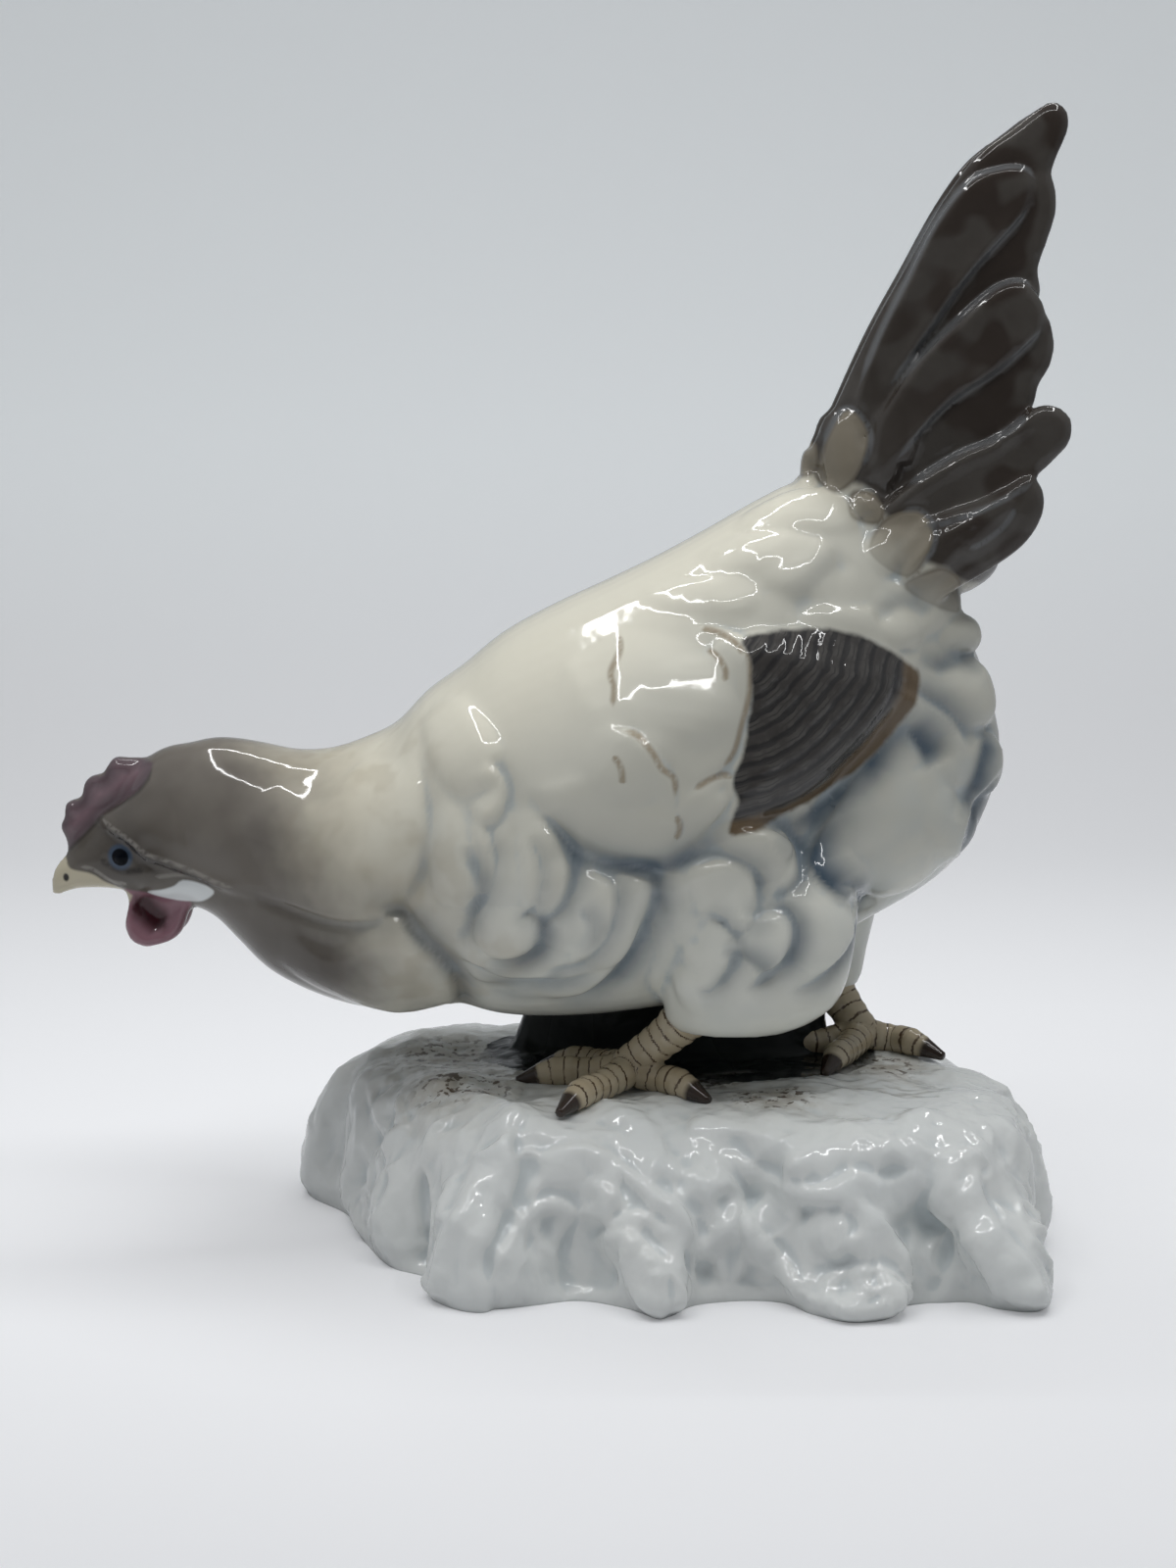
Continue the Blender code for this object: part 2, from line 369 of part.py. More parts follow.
class Skin:
    """The surface that feathers and flows are laid on."""

    def __init__(self, clay):
        clay.normal_update()
        clay.verts.ensure_lookup_table()
        clay.faces.ensure_lookup_table()
        self.clay = clay
        self.tree = BVHTree.FromBMesh(clay)

    def smooth_normal(self, place, face_index, outward):
        face = self.clay.faces[face_index]
        total = Vector()
        for vert in face.verts:
            total += vert.normal / ((vert.co - place).length + 0.05)
        return total if total.dot(outward) > 0 else -total

    def drop(self, place, outward):
        """Drops a place onto the skin against the outward direction; gives the place and its normal."""
        start = place + outward * CAST_DISTANCE
        hit, _, face_index, _ = self.tree.ray_cast(start, -outward)
        if hit is None or (hit - place).length > CAST_DISTANCE * 0.9:
            hit, _, face_index, _ = self.tree.find_nearest(place)
        return hit, self.smooth_normal(hit, face_index, outward).normalized()

    def from_side(self, x, z, side):
        """The place that shows at x, z to an eye beside the bird."""
        eye = Vector((x, side * EYE_DISTANCE, z))
        hit, _, face_index, _ = self.tree.ray_cast(eye, Vector((0.0, -side, 0.0)))
        if hit is None:
            hit, _, face_index, _ = self.tree.find_nearest(Vector((x, side * 3.0, z)))
        return hit, self.smooth_normal(hit, face_index, Vector((0.0, side, 0.0))).normalized()


def leaf(u, root_share, peak):
    """Outline of a feather: a narrow root, its full width at the peak, and a round tip."""
    if u < peak:
        return root_share + (1 - root_share) * math.sin(0.5 * math.pi * u / peak)
    return math.sqrt(max(0.0, 1 - ((u - peak) / (1 - peak)) ** 2))


def swell(u, peak):
    """Rise of a feather above the skin: nothing at its root, full at the peak, round at its tip."""
    if u < peak:
        return math.sin(0.5 * math.pi * u / peak)
    return math.sqrt(max(0.0, 1 - ((u - peak) / (1 - peak)) ** 2))


def add_lobe(clay, skin, places, normals, width, height, root_share=0.6, peak=0.7):
    """Adds a puffed strip that follows places on the skin, and ends in a round tip."""
    path = [Vector(place) for place in smooth_path(places, LOBE_RINGS)]
    outwards = [Vector(normal).normalized() for normal in smooth_path(normals, LOBE_RINGS)]
    length = sum((b - a).length for a, b in zip(path, path[1:]))
    peak = max(peak, 1 - 0.5 * width / length)
    peak = min(peak, 0.9)
    rings = []
    for i, outward in enumerate(outwards):
        u = 0.004 + 0.992 * math.sin(0.5 * math.pi * i / (LOBE_RINGS - 1)) ** 1.2
        along_place = u * (LOBE_RINGS - 1)
        k = min(int(along_place), LOBE_RINGS - 2)
        centre = path[k].lerp(path[k + 1], along_place - k)
        heading = path[k + 1] - path[k]
        sideways = outward.cross(heading).normalized()
        half_width = 0.5 * width * leaf(u, root_share, peak)
        rise = (height + SINK) * swell(u, peak)
        ring = []
        for angle in np.linspace(0.0, math.tau, RING_POINTS, endpoint=False):
            across = half_width * signed_power(math.cos(angle), 0.85)
            lift = rise * math.sin(angle) ** 0.75 if math.sin(angle) > 0 else 1.5 * SINK * math.sin(angle)
            hit, normal = skin.drop(centre + sideways * across, outward)
            ring.append(hit + normal * (lift - SINK))
        rings.append(ring)
    add_rings(clay, rings)


def add_side_lobe(clay, skin, points, width, height, side, **shape):
    """Adds a lobe whose path is seen from the side."""
    places, normals = zip(*[skin.from_side(x, z, side) for x, z in points])
    add_lobe(clay, skin, places, normals, width, height, **shape)


def add_field(clay, skin, outline, height, side, plateau=4.0):
    """Adds a raised field from its side outline; its edge is round where crisp, and fades elsewhere."""
    edge = smooth_outline(outline, 72)
    middle = edge[:, :2].mean(axis=0)
    hit, outward = skin.from_side(middle[0], middle[1], side)
    places = [skin.from_side(x, z, side)[0] for x, z, _ in edge]
    rings = []
    for share in (0.06, 0.35, 0.7, 0.97):
        ring = []
        for place in places:
            low, normal = skin.drop(hit.lerp(place, share), outward)
            ring.append(low - normal * 2 * SINK)
        rings.append(ring)
    for share in (1.0, 0.985, 0.95, 0.89, 0.8, 0.68, 0.52, 0.35, 0.18, 0.05):
        crisp_rise = math.sqrt(1 - share**plateau)
        faded_rise = 0.5 + 0.5 * math.cos(math.pi * share)
        ring = []
        for place, (_, _, crisp) in zip(places, edge):
            low, normal = skin.drop(hit.lerp(place, share), outward)
            crisp = min(max(crisp, 0.0), 1.0)
            rise = faded_rise + (crisp_rise - faded_rise) * crisp
            ring.append(low + normal * ((height + SINK) * rise - SINK))
        rings.append(ring)
    add_rings(clay, rings)


def add_blade(clay, path, width, thickness, root_share=0.75, rings_wanted=24):
    """Adds a flat blade along a path in the bird's middle plane."""
    places = [Vector(place) for place in smooth_path(path, rings_wanted)]
    length = sum((b - a).length for a, b in zip(places, places[1:]))
    peak = 1 - 0.6 * width / length
    rings = []
    for i, place in enumerate(places):
        u = 0.004 + 0.992 * i / (rings_wanted - 1)
        heading = (places[min(i + 1, rings_wanted - 1)] - places[max(i - 1, 0)]).normalized()
        flat = Vector((0.0, 1.0, 0.0))
        across = heading.cross(flat).normalized()
        half_width = 0.5 * width * leaf(u, root_share, peak)
        half_thickness = 0.5 * thickness * leaf(u, 0.9, 0.8)
        ring = []
        for angle in np.linspace(0.0, math.tau, RING_POINTS, endpoint=False):
            ring.append(
                place + across * (half_width * math.cos(angle)) + flat * (half_thickness * math.sin(angle))
            )
        rings.append(ring)
    add_rings(clay, rings)


def add_tube(clay, path, radii, rings_wanted=14):
    """Adds a round bar through a path, whose radius changes along it."""
    rows = smooth_path([(*place, radius) for place, radius in zip(path, radii)], rings_wanted)
    places = [Vector(row[:3]) for row in rows]
    rings = []
    for i, place in enumerate(places):
        heading = (places[min(i + 1, rings_wanted - 1)] - places[max(i - 1, 0)]).normalized()
        across = heading.cross(Vector((0.0, 0.0, 1.0)))
        if across.length < 0.2:
            across = heading.cross(Vector((0.0, 1.0, 0.0)))
        across.normalize()
        up = across.cross(heading).normalized()
        radius = max(rows[i][3], 0.1)
        ring = []
        for angle in np.linspace(0.0, math.tau, 14, endpoint=False):
            ring.append(place + across * (radius * math.cos(angle)) + up * (radius * math.sin(angle)))
        rings.append(ring)
    add_rings(clay, rings)


def add_plate(clay, outline, middle_y, thickness, dent=0.0):
    """Adds an upright plate with a round edge; a dent hollows both faces."""
    edge = smooth_outline(outline, 72)
    centre = edge.mean(axis=0)
    half = 0.5 * thickness
    rises = [(1.0, 0.0), (0.97, 0.5), (0.9, 0.85), (0.75, 1.0), (0.5, 1.0 - dent), (0.2, 1.0 - 1.3 * dent)]
    rings = []
    for sign, steps in ((-1.0, rises[::-1]), (1.0, rises[1:])):
        for share, rise in steps:
            ring = []
            for point in edge:
                x, z = centre + (point - centre) * share
                ring.append((x, middle_y + sign * half * rise, z))
            rings.append(ring)
    add_rings(clay, rings)


def add_masses(clay):
    add_body(clay)
    for sections in (NEAR_THIGH, FAR_THIGH, TAIL_ROOT):
        add_limb(clay, sections)


def offset_path(path, distance):
    """The path moved sideways by a distance, towards the wing's front edge."""
    rows = smooth_path(path, 24)
    heading = np.gradient(rows, axis=0)
    heading /= np.linalg.norm(heading, axis=1)[:, None]
    return rows + distance * np.stack([-heading[:, 1], heading[:, 0]], axis=1)


def add_feathers(clay, skin, feathers, height, side):
    for x0, z0, x1, z1, width, share in feathers:
        root = (x0 - PLUMAGE_ROOT_REACH * (x1 - x0), z0 - PLUMAGE_ROOT_REACH * (z1 - z0))
        add_side_lobe(clay, skin, [root, (x1, z1)], width, height * share, side)


def add_wing_feathers(clay, skin, side):
    for k in range(WING_FEATHERS):
        rows = offset_path(WING_REAR_EDGE, (k + 0.6) * WING_FEATHER_PITCH)
        points = [rows[int(i)] for i in np.linspace(k, len(rows) - 1, 4)]
        add_side_lobe(
            clay, skin, points, WING_FEATHER_WIDTH, WING_FEATHER_HEIGHT, side, root_share=0.9, peak=0.85
        )


def add_tail_feather(clay, outline, place, side):
    """Adds an upright plate with a rolled edge, which stands further out the further back it goes."""
    edge = smooth_outline(outline, 80)
    centre = edge.mean(axis=0)
    rises = [(1.0, 0.0), (0.98, 0.5), (0.93, 0.8), (0.8, 1.0), (0.5, 0.95), (0.2, 0.9)]
    rings = []
    for sign, steps in ((-1.0, rises[::-1]), (1.0, rises[1:])):
        for share, rise in steps:
            ring = []
            for point in edge:
                x, z = centre + (point - centre) * share
                middle = place * TAIL_HALF_SPREAD + TAIL_LEAN * (x - TAIL_ROOT_X)
                ring.append((x, side * middle + 0.5 * TAIL_FEATHER_THICKNESS * sign * rise, z))
            rings.append(ring)
    add_rings(clay, rings)


def add_tail(clay):
    for path, width, thickness in TAIL_WEB:
        add_blade(clay, [(x, 0.0, z) for x, z in path], width, thickness * TAIL_HALF_SPREAD)
    for side in (-1.0, 1.0):
        for place, outline in TAIL:
            add_tail_feather(clay, outline, place, side)


def add_head(clay, skin):
    add_plate(clay, COMB, 0.0, COMB_THICKNESS)
    for side in (-1.0, 1.0):
        add_plate(clay, WATTLE, side * WATTLE_OFFSET, WATTLE_THICKNESS, dent=0.5)
        add_side_lobe(clay, skin, BROW, BROW_WIDTH, BROW_HEIGHT, side, root_share=0.7, peak=0.5)
        x0, z0, x1, z1, width = EARLOBE
        add_side_lobe(clay, skin, [(x0, z0), (x1, z1)], width, BROW_HEIGHT, side, root_share=0.3, peak=0.5)
        reach = 0.5 * EYE_DIAMETER
        eye_line = [(EYE[0] - reach, EYE[1] + 0.3), (EYE[0] + reach, EYE[1] - 0.3)]
        add_side_lobe(clay, skin, eye_line, EYE_DIAMETER, BROW_HEIGHT, side, root_share=0.1, peak=0.5)


def add_foot(clay, shank, toes):
    radius = 0.5 * TOE_DIAMETER
    shank_radius = 0.5 * SHANK_DIAMETER
    add_tube(clay, shank, [1.35 * shank_radius, shank_radius, 0.9 * shank_radius, shank_radius])
    for toe in toes:
        (x1, y1), (x2, y2) = toe[-2:]
        length = math.hypot(x2 - x1, y2 - y1)
        claw = (x2 + CLAW_LENGTH * (x2 - x1) / length, y2 + CLAW_LENGTH * (y2 - y1) / length)
        path = [(x, y, 0.85 * radius) for x, y in toe]
        path[0] = (*toe[0], 1.3 * radius)
        path.append((*claw, 0.1 * radius))
        add_tube(clay, path, [1.25 * radius, radius, 0.92 * radius, 0.25 * radius], 20)


def build_bird(clay):
    """Adds the whole bird, with the top of the rock at height zero."""
    masses = bmesh.new()
    add_masses(masses)
    add_masses(clay)
    skin = Skin(masses)
    under = bmesh.new()
    fields = bmesh.new()
    for side in (-1.0, 1.0):
        for target in (under, fields, clay):
            add_field(target, skin, CROP, 0.9 * HACKLE_HEIGHT, side)
            add_field(target, skin, HACKLE, HACKLE_HEIGHT, side)
            add_field(target, skin, BREAST, BREAST_HEIGHT, side, plateau=3.0)
            add_field(target, skin, FLUFF, FLUFF_HEIGHT, side, plateau=2.0)
        for target in (fields, clay):
            add_field(target, skin, WING_TIP, 0.77 * WING_HEIGHT, side, plateau=5.0)
            add_field(target, skin, WING, WING_HEIGHT, side, plateau=2.6)
    add_masses(under)
    add_masses(fields)
    covered = Skin(under)
    dressed = Skin(fields)
    for side in (-1.0, 1.0):
        add_feathers(clay, covered, PLUMAGE, PLUMAGE_HEIGHT, side)
        add_wing_feathers(clay, dressed, side)
        add_feathers(clay, dressed, WING_COVERTS, WING_COVERT_HEIGHT, side)
    for done in (masses, under, fields):
        done.free()
    add_tail(clay)
    masses = bmesh.new()
    add_body(masses)
    add_head(clay, Skin(masses))
    masses.free()
    add_foot(clay, NEAR_SHANK, NEAR_TOES)
    add_foot(clay, FAR_SHANK, FAR_TOES)
    add_limb(clay, SUPPORT)


def softened(edge, reach):
    """The outline with its bays and points rounded off over a reach."""
    steps = np.arange(len(edge))
    spacing = np.linalg.norm(np.roll(edge, -1, axis=0) - edge, axis=1).mean()
    away = np.minimum(steps, len(edge) - steps) * spacing
    weights = np.exp(-0.5 * (away / max(reach, 0.01)) ** 2)
    weights /= weights.sum()
    return np.stack([np.sum(weights[:, None] * np.roll(edge, -k, axis=0), axis=0) for k in steps])


def rock_ring(edge, inset, height):
    edge = softened(edge, ROCK_SOFTENING * inset)
    middle = edge.mean(axis=0)
    ring = []
    for point in edge:
        inward = middle - point
        reach = np.linalg.norm(inward)
        steep = 1.0 - ROCK_SIDE_STEEPNESS * abs(inward[0]) / reach
        x, y = point + inward * min(inset * steep / reach, 0.97)
        ring.append((x, y, height))
    return ring


def build_rock(clay):
    edge = smooth_outline(FOOTPRINT, ROCK_POINTS)
    rings = []
    for inset, share in smooth_path(ROCK_PROFILE, 6 * len(ROCK_PROFILE)):
        rings.append(rock_ring(edge, max(inset, 0.0), share * ROCK_HEIGHT))
    block = bmesh.new()
    add_rings(block, rings)
    block.normal_update()
    places = np.array([vert.co for vert in block.verts])
    outwards = np.array([vert.normal for vert in block.verts])
    push = np.zeros(len(places))
    for path, reach, height in ROCK_RELIEF:
        away = np.full(len(places), 1e9)
        for point in smooth_path(path, 24):
            away = np.minimum(away, np.linalg.norm(places - point, axis=1))
        push += height * np.exp(-((away / reach) ** ROCK_CREST))
    for i, place in enumerate(places):
        spot = Vector((place[0], place[1], 0.6 * place[2])) * ROCK_GRAIN_SCALE
        push[i] += ROCK_GRAIN * noise.fractal(spot, 0.9, 2.2, 4)
    above = np.clip(places[:, 2] / 3.0, 0.0, 1.0)
    moved = places + outwards * (push * above)[:, None]
    for vert, place in zip(block.verts, moved):
        vert.co = place
    grown = bpy.data.meshes.new("rock")
    block.to_mesh(grown)
    block.free()
    clay.from_mesh(grown)
    bpy.data.meshes.remove(grown)


def glaze_material():
    material = bpy.data.materials.new("porcelain_glaze")
    material.use_nodes = True
    shader = material.node_tree.nodes["Principled BSDF"]
    shader.inputs["Base Color"].default_value = GLAZE_WHITE
    shader.inputs["Roughness"].default_value = GLAZE_ROUGHNESS
    shader.inputs["Metallic"].default_value = 0.0
    return material


def mesh_object(name, clay):
    mesh = bpy.data.meshes.new(name)
    bmesh.ops.recalc_face_normals(clay, faces=clay.faces)
    clay.to_mesh(mesh)
    clay.free()
    made = bpy.data.objects.new(name, mesh)
    bpy.context.scene.collection.objects.link(made)
    return made


def table_cutter():
    """A slab below the table's level, which leaves the rock a flat underside."""
    clay = bmesh.new()
    bmesh.ops.create_cube(clay, size=1.0)
    bmesh.ops.scale(clay, verts=clay.verts, vec=(0.4, 0.4, 0.04))
    bmesh.ops.translate(clay, verts=clay.verts, vec=(0.0, 0.0, -0.02))
    cutter = mesh_object("table_cutter", clay)
    cutter.hide_render = True
    cutter.display_type = "WIRE"
    return cutter


def main():
    for old in list(bpy.data.objects):
        bpy.data.objects.remove(old)
    clay = bmesh.new()
    build_bird(clay)
    bmesh.ops.translate(clay, verts=clay.verts, vec=(0.0, 0.0, ROCK_HEIGHT))
    build_rock(clay)
    bmesh.ops.scale(clay, verts=clay.verts, vec=(MM, MM, MM))
    hen = mesh_object("hen_figurine", clay)
    hen.data.materials.append(glaze_material())

    fuse = hen.modifiers.new("fuse", "REMESH")
    fuse.mode = "VOXEL"
    fuse.voxel_size = SKIN_STEP * MM
    fuse.use_smooth_shade = True
    soften = hen.modifiers.new("soften", "SMOOTH")
    soften.factor = 0.5
    soften.iterations = SMOOTH_PASSES
    thin = hen.modifiers.new("thin", "DECIMATE")
    thin.ratio = KEPT_SHARE
    flat = hen.modifiers.new("flat_underside", "BOOLEAN")
    flat.operation = "DIFFERENCE"
    flat.object = table_cutter()


main()
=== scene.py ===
# %% [markdown]
# # A porcelain hen that bends down to feed
#
# The real thing is one hollow piece of porcelain. It was cast in plaster moulds, joined while the clay
# was soft, painted with a few soft colours, covered with clear glaze and fired. So nothing on it is a
# separate part: the bird, its feet and the rock have run together under one skin of glass.
#
# Here each piece is sculpted in millimetres from closed shapes that overlap, and a voxel remesh melts
# them into one skin. That is how the maker worked too: press small rolls of clay on, then smooth them.

import math

import bmesh
import bpy
import numpy as np
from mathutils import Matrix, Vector, noise
from mathutils.bvhtree import BVHTree


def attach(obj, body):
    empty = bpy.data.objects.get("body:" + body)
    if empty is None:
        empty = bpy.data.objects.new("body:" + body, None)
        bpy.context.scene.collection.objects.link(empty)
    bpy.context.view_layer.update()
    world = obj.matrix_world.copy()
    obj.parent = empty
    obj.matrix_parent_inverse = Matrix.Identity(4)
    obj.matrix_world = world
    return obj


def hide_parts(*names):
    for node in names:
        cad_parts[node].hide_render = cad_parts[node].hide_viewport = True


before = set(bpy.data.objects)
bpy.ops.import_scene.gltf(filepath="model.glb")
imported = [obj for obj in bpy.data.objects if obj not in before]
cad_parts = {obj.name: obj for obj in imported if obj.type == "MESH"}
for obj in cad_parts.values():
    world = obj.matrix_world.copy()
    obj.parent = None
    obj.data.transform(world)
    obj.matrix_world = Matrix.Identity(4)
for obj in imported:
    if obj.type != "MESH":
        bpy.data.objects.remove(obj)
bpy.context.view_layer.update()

MM = 0.001
ROCK_HEIGHT = 32.0
NODE = "hen_figurine"

# %% [markdown]
# ## The camera
#
# The photograph was taken from about half a metre away, a little above the bird's back. A short
# distance matters: the near wing looks larger than the far one, and the rock's top shows.

# %% The camera
camera = bpy.data.objects.new("photo_camera", bpy.data.cameras.new("photo_camera"))
bpy.context.scene.collection.objects.link(camera)
bpy.context.scene.camera = camera
camera.location = (0.0066, -0.520, 0.165)
camera.rotation_euler = (math.radians(90 - 8.28), 0.0, 0.0)
camera.data.sensor_width = 36.0
camera.data.lens = 61.0
bpy.context.scene.view_settings.view_transform = "Standard"
print("camera", round(camera.data.lens), "mm lens,", round(-camera.location.y / MM), "mm away")

# %% [markdown]
# ## Wires
#
# Node trees are long to write, and the maths in them is short. So a small class holds one socket,
# and lets Python's own signs join nodes: `a * b + 2` adds a Multiply node and an Add node. It works for
# the materials and for Geometry Nodes, which share these nodes.


# %% A class that joins nodes
class Wire:
    """One output socket of a node tree. Signs and calls on it add nodes and give the new output."""

    def __init__(self, tree, socket):
        self.tree = tree
        self.socket = socket

    def join(self, kind, operation, values, output=0):
        node = self.tree.nodes.new(kind)
        node.operation = operation
        for socket, value in zip(node.inputs, values):
            plug(self.tree, socket, value)
        return Wire(self.tree, node.outputs[output])

    def number(self, operation, *others):
        return self.join("ShaderNodeMath", operation, (self, *others))

    def vector(self, operation, *others, output=0):
        return self.join("ShaderNodeVectorMath", operation, (self, *others), output)

    def __add__(self, other):
        return self.number("ADD", other)

    def __sub__(self, other):
        return self.number("SUBTRACT", other)

    def __rsub__(self, other):
        return (self * -1.0) + other

    def __mul__(self, other):
        return self.number("MULTIPLY", other)

    def __truediv__(self, other):
        return self.number("DIVIDE", other)

    def scaled(self, share):
        node = self.tree.nodes.new("ShaderNodeVectorMath")
        node.operation = "SCALE"
        plug(self.tree, node.inputs[0], self)
        plug(self.tree, node.inputs["Scale"], share)
        return Wire(self.tree, node.outputs[0])

    def ramp(self, low, high):
        """Nothing below low, one above high, and an even curve between them."""
        node = self.tree.nodes.new("ShaderNodeMapRange")
        node.interpolation_type = "SMOOTHSTEP"
        plug(self.tree, node.inputs["Value"], self)
        node.inputs["From Min"].default_value = low
        node.inputs["From Max"].default_value = high
        return Wire(self.tree, node.outputs[0])


def plug(tree, socket, value):
    if isinstance(value, Wire):
        tree.links.new(value.socket, socket)
    else:
        socket.default_value = value


print("wires are ready")

# %% [markdown]
# ## The studio
#
# A glossy thing is lit by what it mirrors. The photograph's tent had strips of lamps overhead, set in a
# rectangle, which show as thin bright outlines on the glaze, and it was dark round the lens. So there
# are four thin lamps overhead, a soft white sky, and a sky that is darker towards the camera.

# %% Lamps and sky
STRIP_LENGTH = 0.46
STRIP_WIDTH = 0.014
STRIP_HEIGHT = 0.56
STRIP_POWER = 0.52
STRIP_MIDDLE = (0.02, -0.03)
FILL_POWER = 0.2
CEILING_POWER = 0.75
FLOOR_COLOUR = (0.75, 0.755, 0.77, 1.0)
BACKDROP_COLOUR = (0.80, 0.83, 0.845, 1.0)
SKY_COLOUR = (0.93, 0.96, 1.0, 1.0)
SKY_STRENGTH = 0.34
SKY_SHADE = 0.25


def add_lamp(name, place, size, power, aim):
    data = bpy.data.lights.new(name, "AREA")
    data.shape = "RECTANGLE"
    data.size, data.size_y = size
    data.energy = power
    lamp = bpy.data.objects.new(name, data)
    bpy.context.scene.collection.objects.link(lamp)
    lamp.location = place
    lamp.rotation_euler = (Vector(aim) - Vector(place)).to_track_quat("-Z", "Y").to_euler()
    return lamp


middle_x, middle_y = STRIP_MIDDLE
half = 0.5 * STRIP_LENGTH
for name, dx, dy, size in (
    ("strip_left", -half, 0.0, (STRIP_WIDTH, STRIP_LENGTH)),
    ("strip_right", half, 0.0, (STRIP_WIDTH, STRIP_LENGTH)),
    ("strip_front", 0.0, -half, (STRIP_LENGTH, STRIP_WIDTH)),
    ("strip_back", 0.0, half, (STRIP_LENGTH, STRIP_WIDTH)),
):
    place = (middle_x + dx, middle_y + dy, STRIP_HEIGHT)
    add_lamp(name, place, size, STRIP_POWER, (place[0], place[1], 0.0))
fill = add_lamp("fill", (-0.5, -0.55, 0.55), (0.5, 0.5), FILL_POWER, (0.0, 0.0, 0.1))
above, below = (middle_x, middle_y, STRIP_HEIGHT), (middle_x, middle_y, 0.0)
ceiling = add_lamp("ceiling", above, (0.5, 0.5), CEILING_POWER, below)
for lamp in (fill, ceiling):
    lamp.visible_glossy = False

world = bpy.data.worlds.new("tent")
bpy.context.scene.world = world
world.use_nodes = True
tree = world.node_tree
coordinates = tree.nodes.new("ShaderNodeTexCoord")
split = tree.nodes.new("ShaderNodeSeparateXYZ")
tree.links.new(coordinates.outputs["Generated"], split.inputs[0])
away = Wire(tree, split.outputs["Y"]).ramp(-0.95, -0.45)
background = tree.nodes["Background"]
background.inputs["Color"].default_value = SKY_COLOUR
plug(tree, background.inputs["Strength"], (away * (1.0 - SKY_SHADE) + SKY_SHADE) * SKY_STRENGTH)
print("4 strips, a fill lamp and a ceiling lamp under a soft sky")

# %% [markdown]
# The floor is one sheet that runs flat under the rock and sweeps up behind it, as a paper backdrop does,
# so no corner shows. Its colour darkens a little up the sweep.

# %% Floor and backdrop
FLOOR_HALF_WIDTH = 1.6
FLOOR_LIFT = 0.0
MIDDLE_LIFT = 0.27
BACKDROP_LIFT = 0.32
SWEEP_START = 0.42
SWEEP_RADIUS = 0.45


def build_floor():
    line = [(-1.4, 0.0), (-0.5, 0.0), (0.0, 0.0), (SWEEP_START, 0.0)]
    for angle in np.linspace(0.0, 0.5 * math.pi, 25)[1:]:
        line.append((SWEEP_START + SWEEP_RADIUS * math.sin(angle), SWEEP_RADIUS * (1.0 - math.cos(angle))))
    line.append((SWEEP_START + SWEEP_RADIUS, 1.8))
    sheet = bmesh.new()
    rows = [[sheet.verts.new((x, y, z)) for x in (-FLOOR_HALF_WIDTH, FLOOR_HALF_WIDTH)] for y, z in line]
    for one, two in zip(rows, rows[1:]):
        sheet.faces.new((one[0], one[1], two[1], two[0])).smooth = True
    mesh = bpy.data.meshes.new("paper_floor")
    sheet.to_mesh(mesh)
    sheet.free()
    return bpy.data.objects.new("paper_floor", mesh)


def paper_material():
    material = bpy.data.materials.new("backdrop_paper")
    material.use_nodes = True
    tree = material.node_tree
    shader = tree.nodes["Principled BSDF"]
    shader.inputs["Roughness"].default_value = 0.75
    shader.inputs["Specular IOR Level"].default_value = 0.25
    place = tree.nodes.new("ShaderNodeTexCoord")
    split = tree.nodes.new("ShaderNodeSeparateXYZ")
    tree.links.new(place.outputs["Object"], split.inputs[0])
    height = Wire(tree, split.outputs["Z"]).ramp(0.0, 0.16)
    mix = tree.nodes.new("ShaderNodeMix")
    mix.data_type = "RGBA"
    plug(tree, mix.inputs["Factor"], height)
    mix.inputs["A"].default_value = FLOOR_COLOUR
    mix.inputs["B"].default_value = BACKDROP_COLOUR
    tree.links.new(mix.outputs["Result"], shader.inputs["Base Color"])
    seen = tree.nodes.new("ShaderNodeLightPath")
    tree.links.new(mix.outputs["Result"], shader.inputs["Emission Color"])
    depth = Wire(tree, split.outputs["Y"]).ramp(-0.30, 0.05)
    lift = height * (BACKDROP_LIFT - MIDDLE_LIFT) + depth * (MIDDLE_LIFT - FLOOR_LIFT) + FLOOR_LIFT
    plug(tree, shader.inputs["Emission Strength"], Wire(tree, seen.outputs["Is Camera Ray"]) * lift)
    return material


floor = build_floor()
bpy.context.scene.collection.objects.link(floor)
floor.data.materials.append(paper_material())
print("floor sweeps up to", round(1000 * max(v.co.z for v in floor.data.vertices)), "mm")

# %% [markdown]
# ## Smooth lines and closed rings
#
# A sculptor thinks in a few places along a curve. These helpers turn a few rows of numbers into a smooth
# curve, and join rings of points into one closed form. Everything on the bird grows out of them.


# %% Splines and rings
def spline_point(a, b, c, d, t):
    """A place on the curve from b to c that keeps the slope of its neighbours a and d."""
    bend = (2 * a - 5 * b + 4 * c - d) * t**2 + (3 * b - a - 3 * c + d) * t**3
    return 0.5 * (2 * b + (c - a) * t + bend)


def smooth_path(points, count):
    """Points on one smooth curve through the given ones, spaced by their share of the rows."""
    rows = np.array(points, float)
    last = len(rows) - 1
    padded = np.vstack([2 * rows[0] - rows[1], rows, 2 * rows[-1] - rows[-2]])
    path = []
    for place in np.linspace(0.0, last, count):
        i = min(int(place), last - 1)
        path.append(spline_point(*padded[i : i + 4], place - i))
    return np.array(path)


def smooth_outline(points, count):
    """Points on one smooth closed curve through the given ones."""
    rows = np.array(points, float)
    wrapped = np.vstack([rows[-1], rows, rows[0], rows[1]])
    path = []
    for place in np.linspace(0.0, len(rows), count, endpoint=False):
        i = int(place)
        path.append(spline_point(*wrapped[i : i + 4], place - i))
    return np.array(path)


